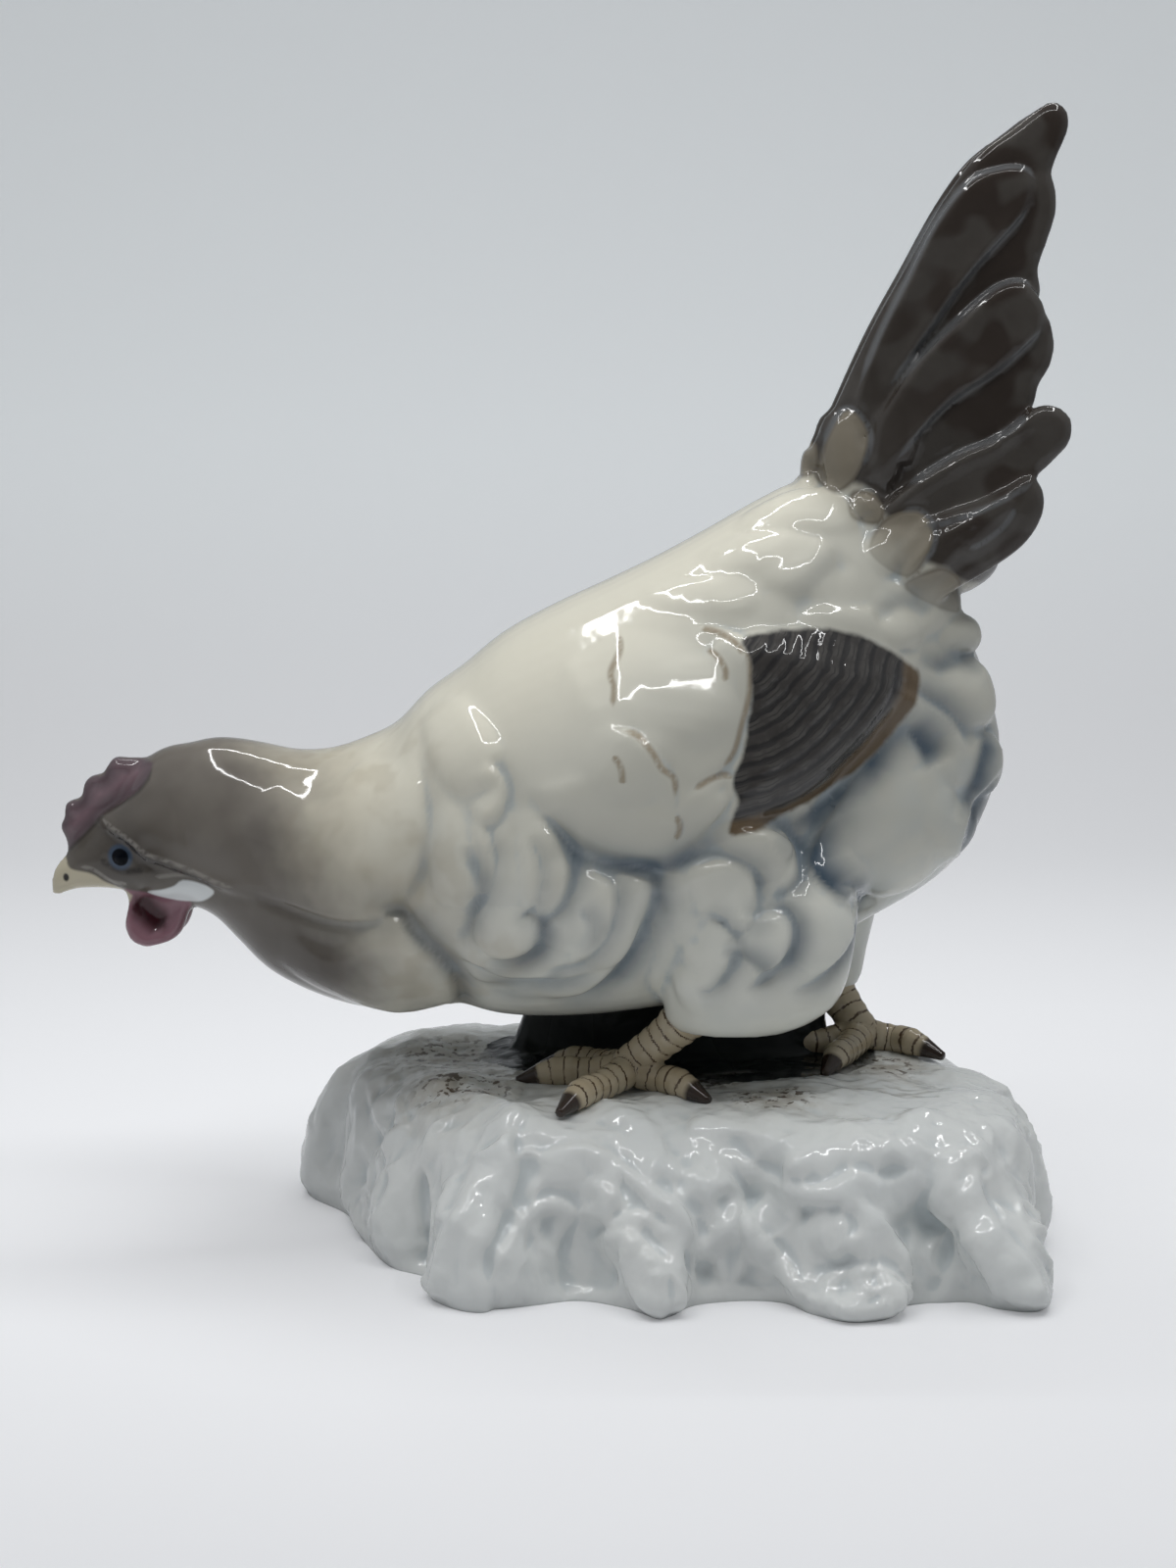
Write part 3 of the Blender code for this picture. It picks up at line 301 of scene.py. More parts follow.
def add_rings(clay, rings):
    """Adds one closed form that runs through the rings, with a point in the middle of each end."""
    made = [[clay.verts.new(point) for point in ring] for ring in rings]
    for one, two in zip(made, made[1:]):
        for i in range(len(one)):
            j = (i + 1) % len(one)
            clay.faces.new((one[i], one[j], two[j], two[i]))
    for ring, step in ((made[0], -1), (made[-1], 1)):
        middle = clay.verts.new(sum((vert.co for vert in ring), Vector()) / len(ring))
        for i in range(len(ring)):
            clay.faces.new((ring[i], ring[(i + step) % len(ring)], middle))


def signed_power(value, power):
    return math.copysign(abs(value) ** power, value)


def plain_object(name, clay, scale=1.0):
    """Turns the clay into a mesh object, with its faces turned outwards."""
    bmesh.ops.recalc_face_normals(clay, faces=clay.faces)
    if scale != 1.0:
        bmesh.ops.scale(clay, verts=clay.verts, vec=(scale, scale, scale))
    mesh = bpy.data.meshes.new(name)
    clay.to_mesh(mesh)
    clay.free()
    made = bpy.data.objects.new(name, mesh)
    bpy.context.scene.collection.objects.link(made)
    return made


print("a smooth line through 3 points has", len(smooth_path([(0, 0), (1, 1), (2, 0)], 9)), "points")

# %% [markdown]
# ## The bird's mass
#
# Under the feathers there is one long pear, from the beak to the rump, with two thighs and the root of
# the tail. Each row below is one slice of the pear: where it is along the bird, its top, its bottom, and
# how wide it is. Heights are measured from the top of the rock, in millimetres.

# %% Body, neck and head
BODY_HALF_WIDTH = 38.0
BODY_WIDEST = 0.45
BODY_SQUARENESS = 2.2
BODY = [
    (-99.9, 38.3, 35.4, 0.015), (-99.2, 40.6, 34.9, 0.037), (-97.5, 42.6, 35.6, 0.060),
    (-95, 45, 36.4, 0.088), (-92, 48.2, 36.6, 0.124), (-89, 51.4, 36.6, 0.166),
    (-85.5, 55.6, 36.2, 0.212), (-81.5, 61.6, 35, 0.258), (-77, 64.6, 34, 0.295),
    (-72, 65.6, 33.3, 0.326), (-67, 66.6, 31, 0.363), (-62, 66.3, 26, 0.410),
    (-57, 65.4, 21, 0.463), (-51, 64.2, 17.5, 0.526), (-44, 64.5, 14.8, 0.605),
    (-37, 66.8, 13.2, 0.684), (-31, 69.8, 13.2, 0.750), (-25, 76, 14.2, 0.803),
    (-18, 81, 14, 0.855), (-10, 87.5, 12.2, 0.916), (0, 93, 11.8, 0.968),
    (10, 97.6, 12.4, 1), (20, 102.4, 13.6, 1), (30, 107.8, 15, 0.96),
    (40, 113.5, 18, 0.895), (48, 117, 22.5, 0.816), (56, 116, 27.5, 0.724),
    (64, 110, 32, 0.632), (71, 102, 36, 0.526), (77, 95.5, 40.5, 0.421),
    (82, 85, 46.5, 0.303), (85.5, 76, 54, 0.184), (87.5, 68, 60, 0.066),
]
# Limbs: centre, then half sizes along X and Y, from the top down
NEAR_THIGH = [
    (40, -17, 56, 14, 10), (40, -21, 44, 18, 13.5), (39.5, -22.5, 30, 18, 14.5),
    (38, -22.5, 20, 17, 13), (36, -22, 15.5, 14.5, 11), (34.5, -21.5, 13, 11, 8),
]
FAR_THIGH = [
    (50, 17, 56, 14, 10), (50, 21, 44, 17.5, 13.5), (51, 21.5, 30, 15.5, 13),
    (53, 20.5, 21, 11.5, 10), (55.5, 18, 15, 7.5, 7), (56.5, 17, 12.5, 4.5, 4.5),
]
TAIL_ROOT = [
    (61, 0, 88, 16, 12), (61.5, 0, 102, 15.5, 13), (62, 0, 112, 12.5, 11.5),
    (60.5, 0, 122, 9.5, 9), (62, 0, 132, 6, 5.5),
]


def add_body(clay):
    rings = []
    for x, top, bottom, width in smooth_path(BODY, 3 * len(BODY)):
        widest = bottom + BODY_WIDEST * (top - bottom)
        half_width = max(width, 0.01) * BODY_HALF_WIDTH
        ring = []
        for angle in np.linspace(0.0, math.tau, 64, endpoint=False):
            across = signed_power(math.cos(angle), 2 / BODY_SQUARENESS)
            rise = signed_power(math.sin(angle), 2 / BODY_SQUARENESS)
            reach = top - widest if rise > 0 else widest - bottom
            ring.append((x, half_width * across, widest + reach * rise))
        rings.append(ring)
    add_rings(clay, rings)


def add_limb(clay, sections):
    """Adds a rounded mass from level elliptic sections."""
    rings = []
    for x, y, z, half_x, half_y in smooth_path(sections, 4 * len(sections)):
        ring = []
        for angle in np.linspace(0.0, math.tau, 36, endpoint=False):
            ring.append((x + half_x * math.cos(angle), y + half_y * math.sin(angle), z))
        rings.append(ring)
    add_rings(clay, rings)


def add_masses(clay):
    add_body(clay)
    for sections in (NEAR_THIGH, FAR_THIGH, TAIL_ROOT):
        add_limb(clay, sections)


bare = bmesh.new()
add_masses(bare)
print("the bare masses have", len(bare.faces), "faces")

# %% [markdown]
# ## Laying things on the skin
#
# A wing isn't drawn in space, it lies on the bird. So each outline below is drawn as seen from the side,
# and is dropped onto the masses along a straight line. The near and the far wing come from one outline.

# %% Lobes that lie on the skin
EYE_DISTANCE = 200.0
CAST_DISTANCE = 40.0
SINK = 1.6


class Skin:
    """The surface that feathers are laid on."""

    def __init__(self, clay):
        clay.normal_update()
        clay.verts.ensure_lookup_table()
        clay.faces.ensure_lookup_table()
        self.clay = clay
        self.tree = BVHTree.FromBMesh(clay)

    def smooth_normal(self, place, face_index, outward):
        face = self.clay.faces[face_index]
        total = Vector()
        for vert in face.verts:
            total += vert.normal / ((vert.co - place).length + 0.05)
        return total if total.dot(outward) > 0 else -total

    def drop(self, place, outward):
        """Drops a place onto the skin against the outward direction; gives the place and its normal."""
        hit, _, face_index, _ = self.tree.ray_cast(place + outward * CAST_DISTANCE, -outward)
        if hit is None or (hit - place).length > CAST_DISTANCE * 0.9:
            hit, _, face_index, _ = self.tree.find_nearest(place)
        return hit, self.smooth_normal(hit, face_index, outward).normalized()

    def from_side(self, x, z, side):
        """The place that shows at x, z to an eye beside the bird."""
        eye = Vector((x, side * EYE_DISTANCE, z))
        hit, _, face_index, _ = self.tree.ray_cast(eye, Vector((0.0, -side, 0.0)))
        if hit is None:
            hit, _, face_index, _ = self.tree.find_nearest(Vector((x, side * 3.0, z)))
        return hit, self.smooth_normal(hit, face_index, Vector((0.0, side, 0.0))).normalized()


def add_field(clay, skin, outline, height, side, plateau=4.0):
    """Adds a raised field from its side outline; its edge is round where crisp, and fades elsewhere."""
    edge = smooth_outline(outline, 96)
    middle = edge[:, :2].mean(axis=0)
    hit, outward = skin.from_side(middle[0], middle[1], side)
    places = [skin.from_side(x, z, side)[0] for x, z, _ in edge]
    rings = []
    for share in (0.06, 0.35, 0.7, 0.97):
        ring = []
        for place in places:
            low, normal = skin.drop(hit.lerp(place, share), outward)
            ring.append(low - normal * 2 * SINK)
        rings.append(ring)
    for share in (1.0, 0.99, 0.97, 0.93, 0.88, 0.8, 0.7, 0.58, 0.45, 0.3, 0.16, 0.05):
        crisp_rise = math.sqrt(1 - share**plateau)
        faded_rise = 0.5 + 0.5 * math.cos(math.pi * share)
        ring = []
        for place, (_, _, crisp) in zip(places, edge):
            low, normal = skin.drop(hit.lerp(place, share), outward)
            crisp = min(max(crisp, 0.0), 1.0)
            rise = faded_rise + (crisp_rise - faded_rise) * crisp
            ring.append(low + normal * ((height + SINK) * rise - SINK))
        rings.append(ring)
    add_rings(clay, rings)


masses_skin = Skin(bare)
print("the skin's widest place is", round(masses_skin.from_side(15.0, 52.0, -1.0)[0].y), "mm from the middle")

# %% [markdown]
# The wing, the dark wing tip, the hackle that falls over the neck, the crop, and the fluff behind the
# thigh are raised fields. The third number of each row says how crisp the edge is there: a wing stands
# clear of the belly, and melts into the back.

# %% Wing, hackle, crop and fluff
WING = [
    (-6, 62, 0.6), (-4.3, 60, 0.9), (-2, 56.4, 1), (2.8, 52.2, 1), (8.8, 49.4, 1),
    (16, 47.9, 1), (22, 48.2, 1), (27.3, 51, 1), (33, 56, 1), (36, 66, 0.8),
    (37, 80, 0.8), (33, 91, 0.4), (14, 99, 0.1), (-2, 93, 0), (-8, 77, 0.2),
]
WING_TIP = [
    (30, 88.5, 0.9), (44, 91, 0.9), (55, 90.5, 0.9), (63, 88, 1), (67.5, 82, 1),
    (64.5, 75, 1), (57, 67, 1), (48.5, 60, 1), (40.5, 56.5, 1), (31, 55, 1),
    (24, 66, 0.2), (24, 78, 0.2),
]
HACKLE = [
    (-26, 67, 0.5), (-24, 57, 0.9), (-24.5, 48.5, 1), (-26.5, 43, 1), (-30, 38, 1),
    (-35, 35.2, 1), (-41, 34.6, 1), (-48, 36, 0.9), (-56, 39, 0.6), (-66, 42, 0.1),
    (-74, 54, 0), (-62, 65, 0), (-46, 66, 0), (-34, 70, 0.2),
]
CROP = [
    (-59, 37, 0.1), (-50, 34, 0.1), (-41, 33, 0.2), (-33, 34, 0.8), (-26, 31, 1),
    (-21, 25, 1), (-19, 18, 1), (-23, 12.5, 0.8), (-34, 10.5, 0.3), (-46, 12, 0),
    (-57, 18, 0), (-64, 28, 0),
]
BREAST = [
    (-20, 52, 0.3), (-12, 57, 0.2), (0, 56, 0.2), (9, 50.5, 0.5), (15.5, 47, 0.9),
    (18.2, 42.1, 1), (17, 37.2, 1), (14.3, 31, 1), (10, 24.8, 1), (5.2, 20.6, 1),
    (-3, 18, 0.9), (-11, 18.5, 0.8), (-18, 23, 0.7), (-22.5, 31, 0.8), (-24, 42, 0.6),
]
FLUFF = [
    (57.5, 66, 0.5), (50.5, 55, 0.9), (47.8, 47.7, 1), (49.6, 44, 1), (53.3, 41, 1),
    (59.5, 37.5, 1), (68, 38, 1), (75, 42.5, 0.9), (80, 50.5, 0.8), (81, 61, 0.5),
    (74, 69.5, 0.4), (65, 70.5, 0.4),
]
BODY_FIELDS = [(CROP, 2.3, 4.0), (HACKLE, 2.6, 4.0), (BREAST, 2.2, 3.0), (FLUFF, 5.0, 2.0)]
WING_FIELDS = [(WING_TIP, 3.4, 5.0), (WING, 4.4, 2.6)]


def dressed_masses(fields):
    """The masses with some raised fields on both sides."""
    clay = bmesh.new()
    for side in (-1.0, 1.0):
        for outline, height, plateau in fields:
            add_field(clay, masses_skin, outline, height, side, plateau)
    add_masses(clay)
    return clay


covered = dressed_masses(BODY_FIELDS)
dressed = dressed_masses(BODY_FIELDS + WING_FIELDS)
covered_skin, dressed_skin = Skin(covered), Skin(dressed)
print(2 * len(BODY_FIELDS + WING_FIELDS), "fields,", len(dressed.faces), "faces with the masses")

# %% [markdown]
# ## Feathers that lie on the skin
#
# The plumage is some forty puffed lobes a side. Each is the same petal: narrow at its root, full near its
# round tip. Modelling each one by hand would take days, so Geometry Nodes does what the hands do. It
# puts a petal at every root, bends it along its own curve, and drops each of its points on the skin.
#
# First the petal. It is a closed form whose points carry their place in it: how far along it is, how far
# across, and how high.

# %% One petal, and a point for each feather
PETAL_RINGS = 16
PETAL_SIDES = 20


def build_petal():
    clay = bmesh.new()
    place = clay.verts.layers.float_vector.new("petal_place")
    rings = []
    for i in range(PETAL_RINGS):
        along = 0.004 + 0.992 * math.sin(0.5 * math.pi * i / (PETAL_RINGS - 1)) ** 1.2
        ring = []
        for angle in np.linspace(0.0, math.tau, PETAL_SIDES, endpoint=False):
            ring.append((along, signed_power(math.cos(angle), 0.85), math.sin(angle)))
        rings.append(ring)
    add_rings(clay, rings)
    for vert in clay.verts:
        vert[place] = vert.co
    return plain_object("petal", clay)


def root_points(name, feathers, skin):
    """One point for each feather and side, which carries the feather's curve and sizes."""
    rows = []
    for side in (-1.0, 1.0):
        for path, width, height, root_share, peak in feathers:
            root, middle, tip = [skin.from_side(x, z, side) for x, z in smooth_path(path, 3)]
            knee = 2.0 * middle[0] - 0.5 * (root[0] + tip[0])
            rows.append((root[0], knee, tip[0], root[1], tip[1], width, height, root_share, peak))
    mesh = bpy.data.meshes.new(name)
    mesh.from_pydata([tuple(row[0]) for row in rows], [], [])
    for label, column in (("root", 0), ("knee", 1), ("tip", 2), ("root_out", 3), ("tip_out", 4)):
        layer = mesh.attributes.new(label, "FLOAT_VECTOR", "POINT")
        layer.data.foreach_set("vector", np.array([tuple(row[column]) for row in rows]).ravel())
    for label, column in (("feather_width", 5), ("lift", 6), ("root_share", 7), ("peak", 8)):
        layer = mesh.attributes.new(label, "FLOAT", "POINT")
        layer.data.foreach_set("value", np.array([row[column] for row in rows]))
    made = bpy.data.objects.new(name, mesh)
    bpy.context.scene.collection.objects.link(made)
    return made


petal = build_petal()
print("the petal has", len(petal.data.polygons), "faces")

# %% [markdown]
# The tree reads each point's numbers, works out where along the feather's curve a petal point lies, and
# casts a ray from there onto the skin. Where a ray misses, past the edge of the bird, the nearest place
# on the skin is used.


# %% The tree that lays feathers
def new_tree(name, inputs):
    tree = bpy.data.node_groups.new(name, "GeometryNodeTree")
    tree.interface.new_socket("Geometry", in_out="INPUT", socket_type="NodeSocketGeometry")
    for label, kind in inputs:
        tree.interface.new_socket(label, in_out="INPUT", socket_type="NodeSocket" + kind)
    tree.interface.new_socket("Geometry", in_out="OUTPUT", socket_type="NodeSocketGeometry")
    return tree, tree.nodes.new("NodeGroupInput"), tree.nodes.new("NodeGroupOutput")


def named(tree, label, kind="FLOAT"):
    node = tree.nodes.new("GeometryNodeInputNamedAttribute")
    node.data_type = kind
    node.inputs["Name"].default_value = label
    return Wire(tree, node.outputs["Attribute"])


def object_mesh(tree, holder):
    node = tree.nodes.new("GeometryNodeObjectInfo")
    plug(tree, node.inputs["Object"], holder)
    return Wire(tree, node.outputs["Geometry"])


def nearest(tree, mesh, value, place):
    node = tree.nodes.new("GeometryNodeSampleNearestSurface")
    node.data_type = "FLOAT_VECTOR"
    plug(tree, node.inputs["Mesh"], mesh)
    plug(tree, node.inputs["Value"], value)
    plug(tree, node.inputs["Sample Position"], place)
    return Wire(tree, node.outputs["Value"])


def choose(tree, test, other, value):
    node = tree.nodes.new("GeometryNodeSwitch")
    node.input_type = "VECTOR"
    plug(tree, node.inputs["Switch"], test)
    plug(tree, node.inputs["False"], other)
    plug(tree, node.inputs["True"], value)
    return Wire(tree, node.outputs["Output"])


def close_tree(tree, given, result, shape):
    """Gives the shape its glaze, and hands it out of the tree."""
    finish = tree.nodes.new("GeometryNodeSetMaterial")
    tree.links.new(shape, finish.inputs["Geometry"])
    tree.links.new(given.outputs["Glaze"], finish.inputs["Material"])
    tree.links.new(finish.outputs["Geometry"], result.inputs["Geometry"])
    return tree


def feather_tree():
    inputs = [("Skin", "Object"), ("Petal", "Object"), ("Sink", "Float"), ("Cast", "Float")]
    tree, given, result = new_tree("lay_feathers", inputs + [("Glaze", "Material")])
    sink = Wire(tree, given.outputs["Sink"])
    cast = Wire(tree, given.outputs["Cast"])

    scatter = tree.nodes.new("GeometryNodeInstanceOnPoints")
    tree.links.new(given.outputs["Geometry"], scatter.inputs["Points"])
    plug(tree, scatter.inputs["Instance"], object_mesh(tree, Wire(tree, given.outputs["Petal"])))
    realize = tree.nodes.new("GeometryNodeRealizeInstances")
    tree.links.new(scatter.outputs["Instances"], realize.inputs["Geometry"])

    split = tree.nodes.new("ShaderNodeSeparateXYZ")
    plug(tree, split.inputs[0], named(tree, "petal_place", "FLOAT_VECTOR"))
    along, across, up = [Wire(tree, socket) for socket in split.outputs]
    root, knee, tip = [named(tree, label, "FLOAT_VECTOR") for label in ("root", "knee", "tip")]
    before = 1.0 - along

    line = root.scaled(before * before)
    line = line.vector("ADD", knee.scaled(before * along * 2.0))
    line = line.vector("ADD", tip.scaled(along * along))
    heading = knee.vector("SUBTRACT", root).scaled(before)
    heading = heading.vector("ADD", tip.vector("SUBTRACT", knee).scaled(along))
    outward = named(tree, "root_out", "FLOAT_VECTOR").scaled(before)
    outward = outward.vector("ADD", named(tree, "tip_out", "FLOAT_VECTOR").scaled(along)).vector("NORMALIZE")
    sideways = outward.vector("CROSS_PRODUCT", heading).vector("NORMALIZE")

    peak = named(tree, "peak")
    root_share = named(tree, "root_share")
    rise = (along / peak * (0.5 * math.pi)).number("SINE")
    beyond = (along - peak) / (1.0 - peak)
    fall = (1.0 - beyond * beyond).number("MAXIMUM", 0.0).number("SQRT")
    early = along.number("LESS_THAN", peak)
    late = 1.0 - early
    outline = (rise * (1.0 - root_share) + root_share) * early + fall * late
    swell = rise * early + fall * late

    place = line.vector("ADD", sideways.scaled(outline * named(tree, "feather_width") * across * 0.5))
    source = place.vector("ADD", outward.scaled(cast))
    skin_mesh = object_mesh(tree, Wire(tree, given.outputs["Skin"]))
    normal = Wire(tree, tree.nodes.new("GeometryNodeInputNormal").outputs[0])
    ray = tree.nodes.new("GeometryNodeRaycast")
    ray.data_type = "FLOAT_VECTOR"
    plug(tree, ray.inputs["Target Geometry"], skin_mesh)
    plug(tree, ray.inputs["Attribute"], normal)
    plug(tree, ray.inputs["Source Position"], source)
    plug(tree, ray.inputs["Ray Direction"], outward.scaled(-1.0))
    plug(tree, ray.inputs["Ray Length"], cast * 1.5)
    hits = Wire(tree, ray.outputs["Is Hit"])
    position = Wire(tree, tree.nodes.new("GeometryNodeInputPosition").outputs[0])
    hit_place, hit_normal = [Wire(tree, ray.outputs[label]) for label in ("Hit Position", "Attribute")]
    low = choose(tree, hits, nearest(tree, skin_mesh, position, place), hit_place)
    out = choose(tree, hits, nearest(tree, skin_mesh, normal, place), hit_normal)

    above = up.number("MAXIMUM", 0.0).number("POWER", 0.75)
    below = up.number("MINIMUM", 0.0)
    lift = (named(tree, "lift") + sink) * swell * above + (below * 1.5 - 1.0) * sink
    move = tree.nodes.new("GeometryNodeSetPosition")
    tree.links.new(realize.outputs["Geometry"], move.inputs["Geometry"])
    plug(tree, move.inputs["Position"], low.vector("ADD", out.vector("NORMALIZE").scaled(lift)))
    return close_tree(tree, given, result, move.outputs["Geometry"])


def grown(holder, tree, **settings):
    """Runs a tree on an object, and gives its result as a plain mesh. The object is removed."""
    modifier = holder.modifiers.new("grow", "NODES")
    modifier.node_group = tree
    for item in tree.interface.items_tree:
        if item.in_out == "INPUT" and item.name in settings:
            modifier[item.identifier] = settings[item.name]
    graph = bpy.context.evaluated_depsgraph_get()
    mesh = bpy.data.meshes.new_from_object(holder.evaluated_get(graph))
    bpy.data.objects.remove(holder)
    return mesh


lay_feathers = feather_tree()
print("lay_feathers has", len(lay_feathers.nodes), "nodes")

# %% [markdown]
# Now the plumage itself. A row gives a feather's root and tip as seen from the side, its width, and how
# far it puffs up. The long wing feathers follow the rear edge of the wing, each one further in.

# %% The plumage
PLUMAGE_HEIGHT = 3.6
PLUMAGE = [
    (-22.5, 76, -11.5, 60, 15, 0.55), (-21, 56, -16, 39, 12.5, 0.7),
    (-11.5, 58, -7.5, 38.5, 12, 0.8), (-4, 56, -1, 39.5, 10.5, 0.9),
    (-9.5, 42, -10, 29.5, 12.5, 0.8), (1, 50, 2, 30, 13, 0.5),
    (10, 47, 9, 27, 13, 0.5), (-16, 34, -9, 22, 14, 0.35),
    (30.5, 53.5, 44.5, 47.5, 11.5, 1.2), (26, 49.5, 36, 37.5, 13, 1),
    (21.5, 50, 24.5, 37, 9.5, 0.5), (26, 42, 31, 25.5, 12, 0.6),
    (37, 43, 40, 27, 13, 0.8), (48.5, 46, 51, 27, 15.5, 1),
    (26.5, 30, 28.5, 17, 13, 0.4), (72, 76, 86, 76.5, 15, 0.8),
    (74.5, 67, 87.5, 60, 14, 0.8), (72, 57, 82, 45, 14, 0.5),
    (58, 82, 77, 74, 15, 0.5), (60, 94, 71, 89, 10, 0.6),
    (67, 91, 78, 98, 10.5, 1), (74, 89, 82, 87, 8, 1),
    (25, 106, 55, 99, 15, 0.4), (12, 96, 40, 97, 11, 0.3),
    (33, 112, 59, 110, 15, 0.45), (46.5, 92, 67, 89, 9, 0.6),
    (56, 113.5, 56, 130.5, 8.5, 1.1), (49.5, 114.5, 49.5, 124.5, 4.5, 0.8),
    (60.5, 107, 60, 115.2, 5, 0.9), (61, 102.5, 71, 108.5, 10, 1.3),
    (68, 95, 76, 98, 7.5, 0.9), (62.5, 97, 71, 94, 6, 0.5),
]
WING_COVERTS = [
    (16, 80, 36, 77, 21, 0.28), (4, 71, 22, 63, 17, 0.25),
    (20, 56, 32.8, 60.5, 8.5, 0.25), (14, 57, 23.3, 55, 8, 0.22),
]
WING_REAR_EDGE = [(33.0, 57.0), (42.0, 59.0), (50.0, 63.2), (57.5, 70.0), (63.5, 77.5), (65.0, 83.5)]
WING_FEATHERS = 10
WING_FEATHER_PITCH = 2.75
WING_FEATHER_WIDTH = 3.7
WING_FEATHER_HEIGHT = 0.75
ROOT_REACH = 0.35


def feather_rows(table):
    rows = []
    for x0, z0, x1, z1, width, share in table:
        root = (x0 - ROOT_REACH * (x1 - x0), z0 - ROOT_REACH * (z1 - z0))
        length = math.hypot(x1 - root[0], z1 - root[1])
        peak = min(max(0.7, 1.0 - 0.5 * width / length), 0.9)
        rows.append(([root, (x1, z1)], width, PLUMAGE_HEIGHT * share, 0.6, peak))
    return rows


def offset_path(path, distance):
    """The path moved sideways by a distance, towards the wing's front edge."""
    rows = smooth_path(path, 24)
    heading = np.gradient(rows, axis=0)
    heading /= np.linalg.norm(heading, axis=1)[:, None]
    return rows + distance * np.stack([-heading[:, 1], heading[:, 0]], axis=1)


def wing_feather_rows():
    rows = []
    for k in range(WING_FEATHERS):
        path = offset_path(WING_REAR_EDGE, (k + 0.6) * WING_FEATHER_PITCH)
        inside = path[(path[:, 0] > 30.0) & (path[:, 1] < 90.0)]
        ends = [inside[0], inside[len(inside) // 2], inside[-1]]
        rows.append((ends, WING_FEATHER_WIDTH, WING_FEATHER_HEIGHT, 0.9, 0.88))
    return rows


bird = dressed_masses(BODY_FIELDS + WING_FIELDS)
for name, rows, clay, skin in (
    ("plumage", feather_rows(PLUMAGE), covered, covered_skin),
    ("wing_coverts", feather_rows(WING_COVERTS), dressed, dressed_skin),
    ("wing_feathers", wing_feather_rows(), dressed, dressed_skin),
):
    guide = plain_object(name + "_guide", clay.copy())
    points = root_points(name, rows, skin)
    laid = grown(points, lay_feathers, Skin=guide, Petal=petal, Sink=SINK, Cast=CAST_DISTANCE)
    print(name + ":", len(rows) * 2, "feathers,", len(laid.polygons), "faces")
    bird.from_mesh(laid)
    bpy.data.objects.remove(guide)
bpy.data.objects.remove(petal)

# %% [markdown]
# ## The tail
#
# The tail is two fans of flat feathers that lean together at the top and open downwards, with solid
# porcelain between them. Each feather is a plate cut to its own outline, and the lower ones stand
# further out. The outlines overlap as tiles do.

# %% The tail
TAIL_PLATE_THICKNESS = 5.0
TAIL_LEAN = 0.10
TAIL = [
    (5, [(49.5, 120), (50.5, 125.4), (52.8, 128.7), (60.3, 145.2), (66.8, 157.1), (73.2, 168.8),
           (79.6, 177.9), (86.1, 183), (92.6, 187.6), (95.9, 187.2), (97, 183.7), (95, 178.4),
           (92, 172), (80, 158), (66, 136), (58, 120)]),
    (7, [(56.3, 125), (56.8, 132), (58.9, 138), (62.1, 145.2), (66.6, 154.4), (71.7, 164.8),
           (76.8, 171.9), (80.7, 174.8), (86.8, 176.1), (89.8, 174.3), (90.1, 171.2), (88.5, 167.4),
           (85.6, 163.8), (81.7, 159.6), (77.8, 155), (73.3, 148.5), (68.8, 141.9), (64.9, 136.7),
           (61.6, 130.7), (60.4, 122)]),
    (5.5, [(86, 175), (90.9, 176.4), (94, 174), (94.8, 168.1), (93.3, 162.3), (91.7, 157.1),
           (91.8, 151), (84, 146), (72, 134), (66, 126), (66, 136), (74, 151)]),
    (9.5, [(59.5, 118), (60.5, 126.5), (63.5, 132), (68.6, 139.3), (75.1, 145.8), (80.9, 151.3),
           (84.8, 153.9), (88.8, 154.3), (91.9, 151), (92.6, 148.4), (91.3, 145.2), (87.8, 141.6),
           (83.2, 137.9), (79.3, 135.3), (74.7, 132), (70.1, 127.4), (66.2, 122.8), (63, 115)]),
    (8, [(88, 150.5), (92.9, 148.8), (94.6, 143.9), (94.1, 139.3), (91.9, 135.3), (90.6, 130.7),
           (84, 122), (72, 114), (64, 112), (66, 121), (74, 131), (82, 139)]),
    (12.5, [(61, 109), (64.7, 114.2), (70.6, 118.4), (77.1, 122.2), (82.4, 124.6), (87.3, 128.2),
            (91.2, 131.4), (94.8, 131.3), (97.4, 128.8), (97.2, 124.8), (95, 122), (91.8, 118.9),
            (86.6, 115.6), (80, 112.3), (73.4, 109.5), (66, 105)]),
    (14.5, [(64, 101), (67, 107.5), (73.1, 110.6), (81, 113.3), (86.3, 116), (90.3, 118),
            (92.4, 115), (92, 110.6), (89.1, 105.8), (83.9, 101.6), (78, 98), (70, 94)]),
    (15.8, [(66, 99), (69, 104.5), (74, 108.5), (80, 112), (84.5, 114.6), (86.9, 113.7),
            (84.9, 109.3), (81, 105.8), (77.1, 103.4), (71, 98)]),
]
TAIL_WEB = [
    ([(58, 108), (67, 139), (77, 156), (86, 171)], 18, 9.5),
    ([(62, 106), (73, 128), (80, 139), (86, 149)], 28, 16),
    ([(64, 102), (75, 117), (82, 123), (88, 128)], 24, 23),
    ([(66, 96), (74, 103), (80, 106), (84, 109)], 20, 28),
]
TAIL_ROOT_X = 62.0
# A plate's section from the rim inwards: share of the outline, and share of the half thickness
TAIL_SECTION = [(1.0, 0.0), (0.985, 0.42), (0.95, 0.72), (0.88, 0.92), (0.75, 1.0), (0.5, 0.94), (0.2, 0.9)]
PLATE_POINTS = 110
WEB_SIDES = 24


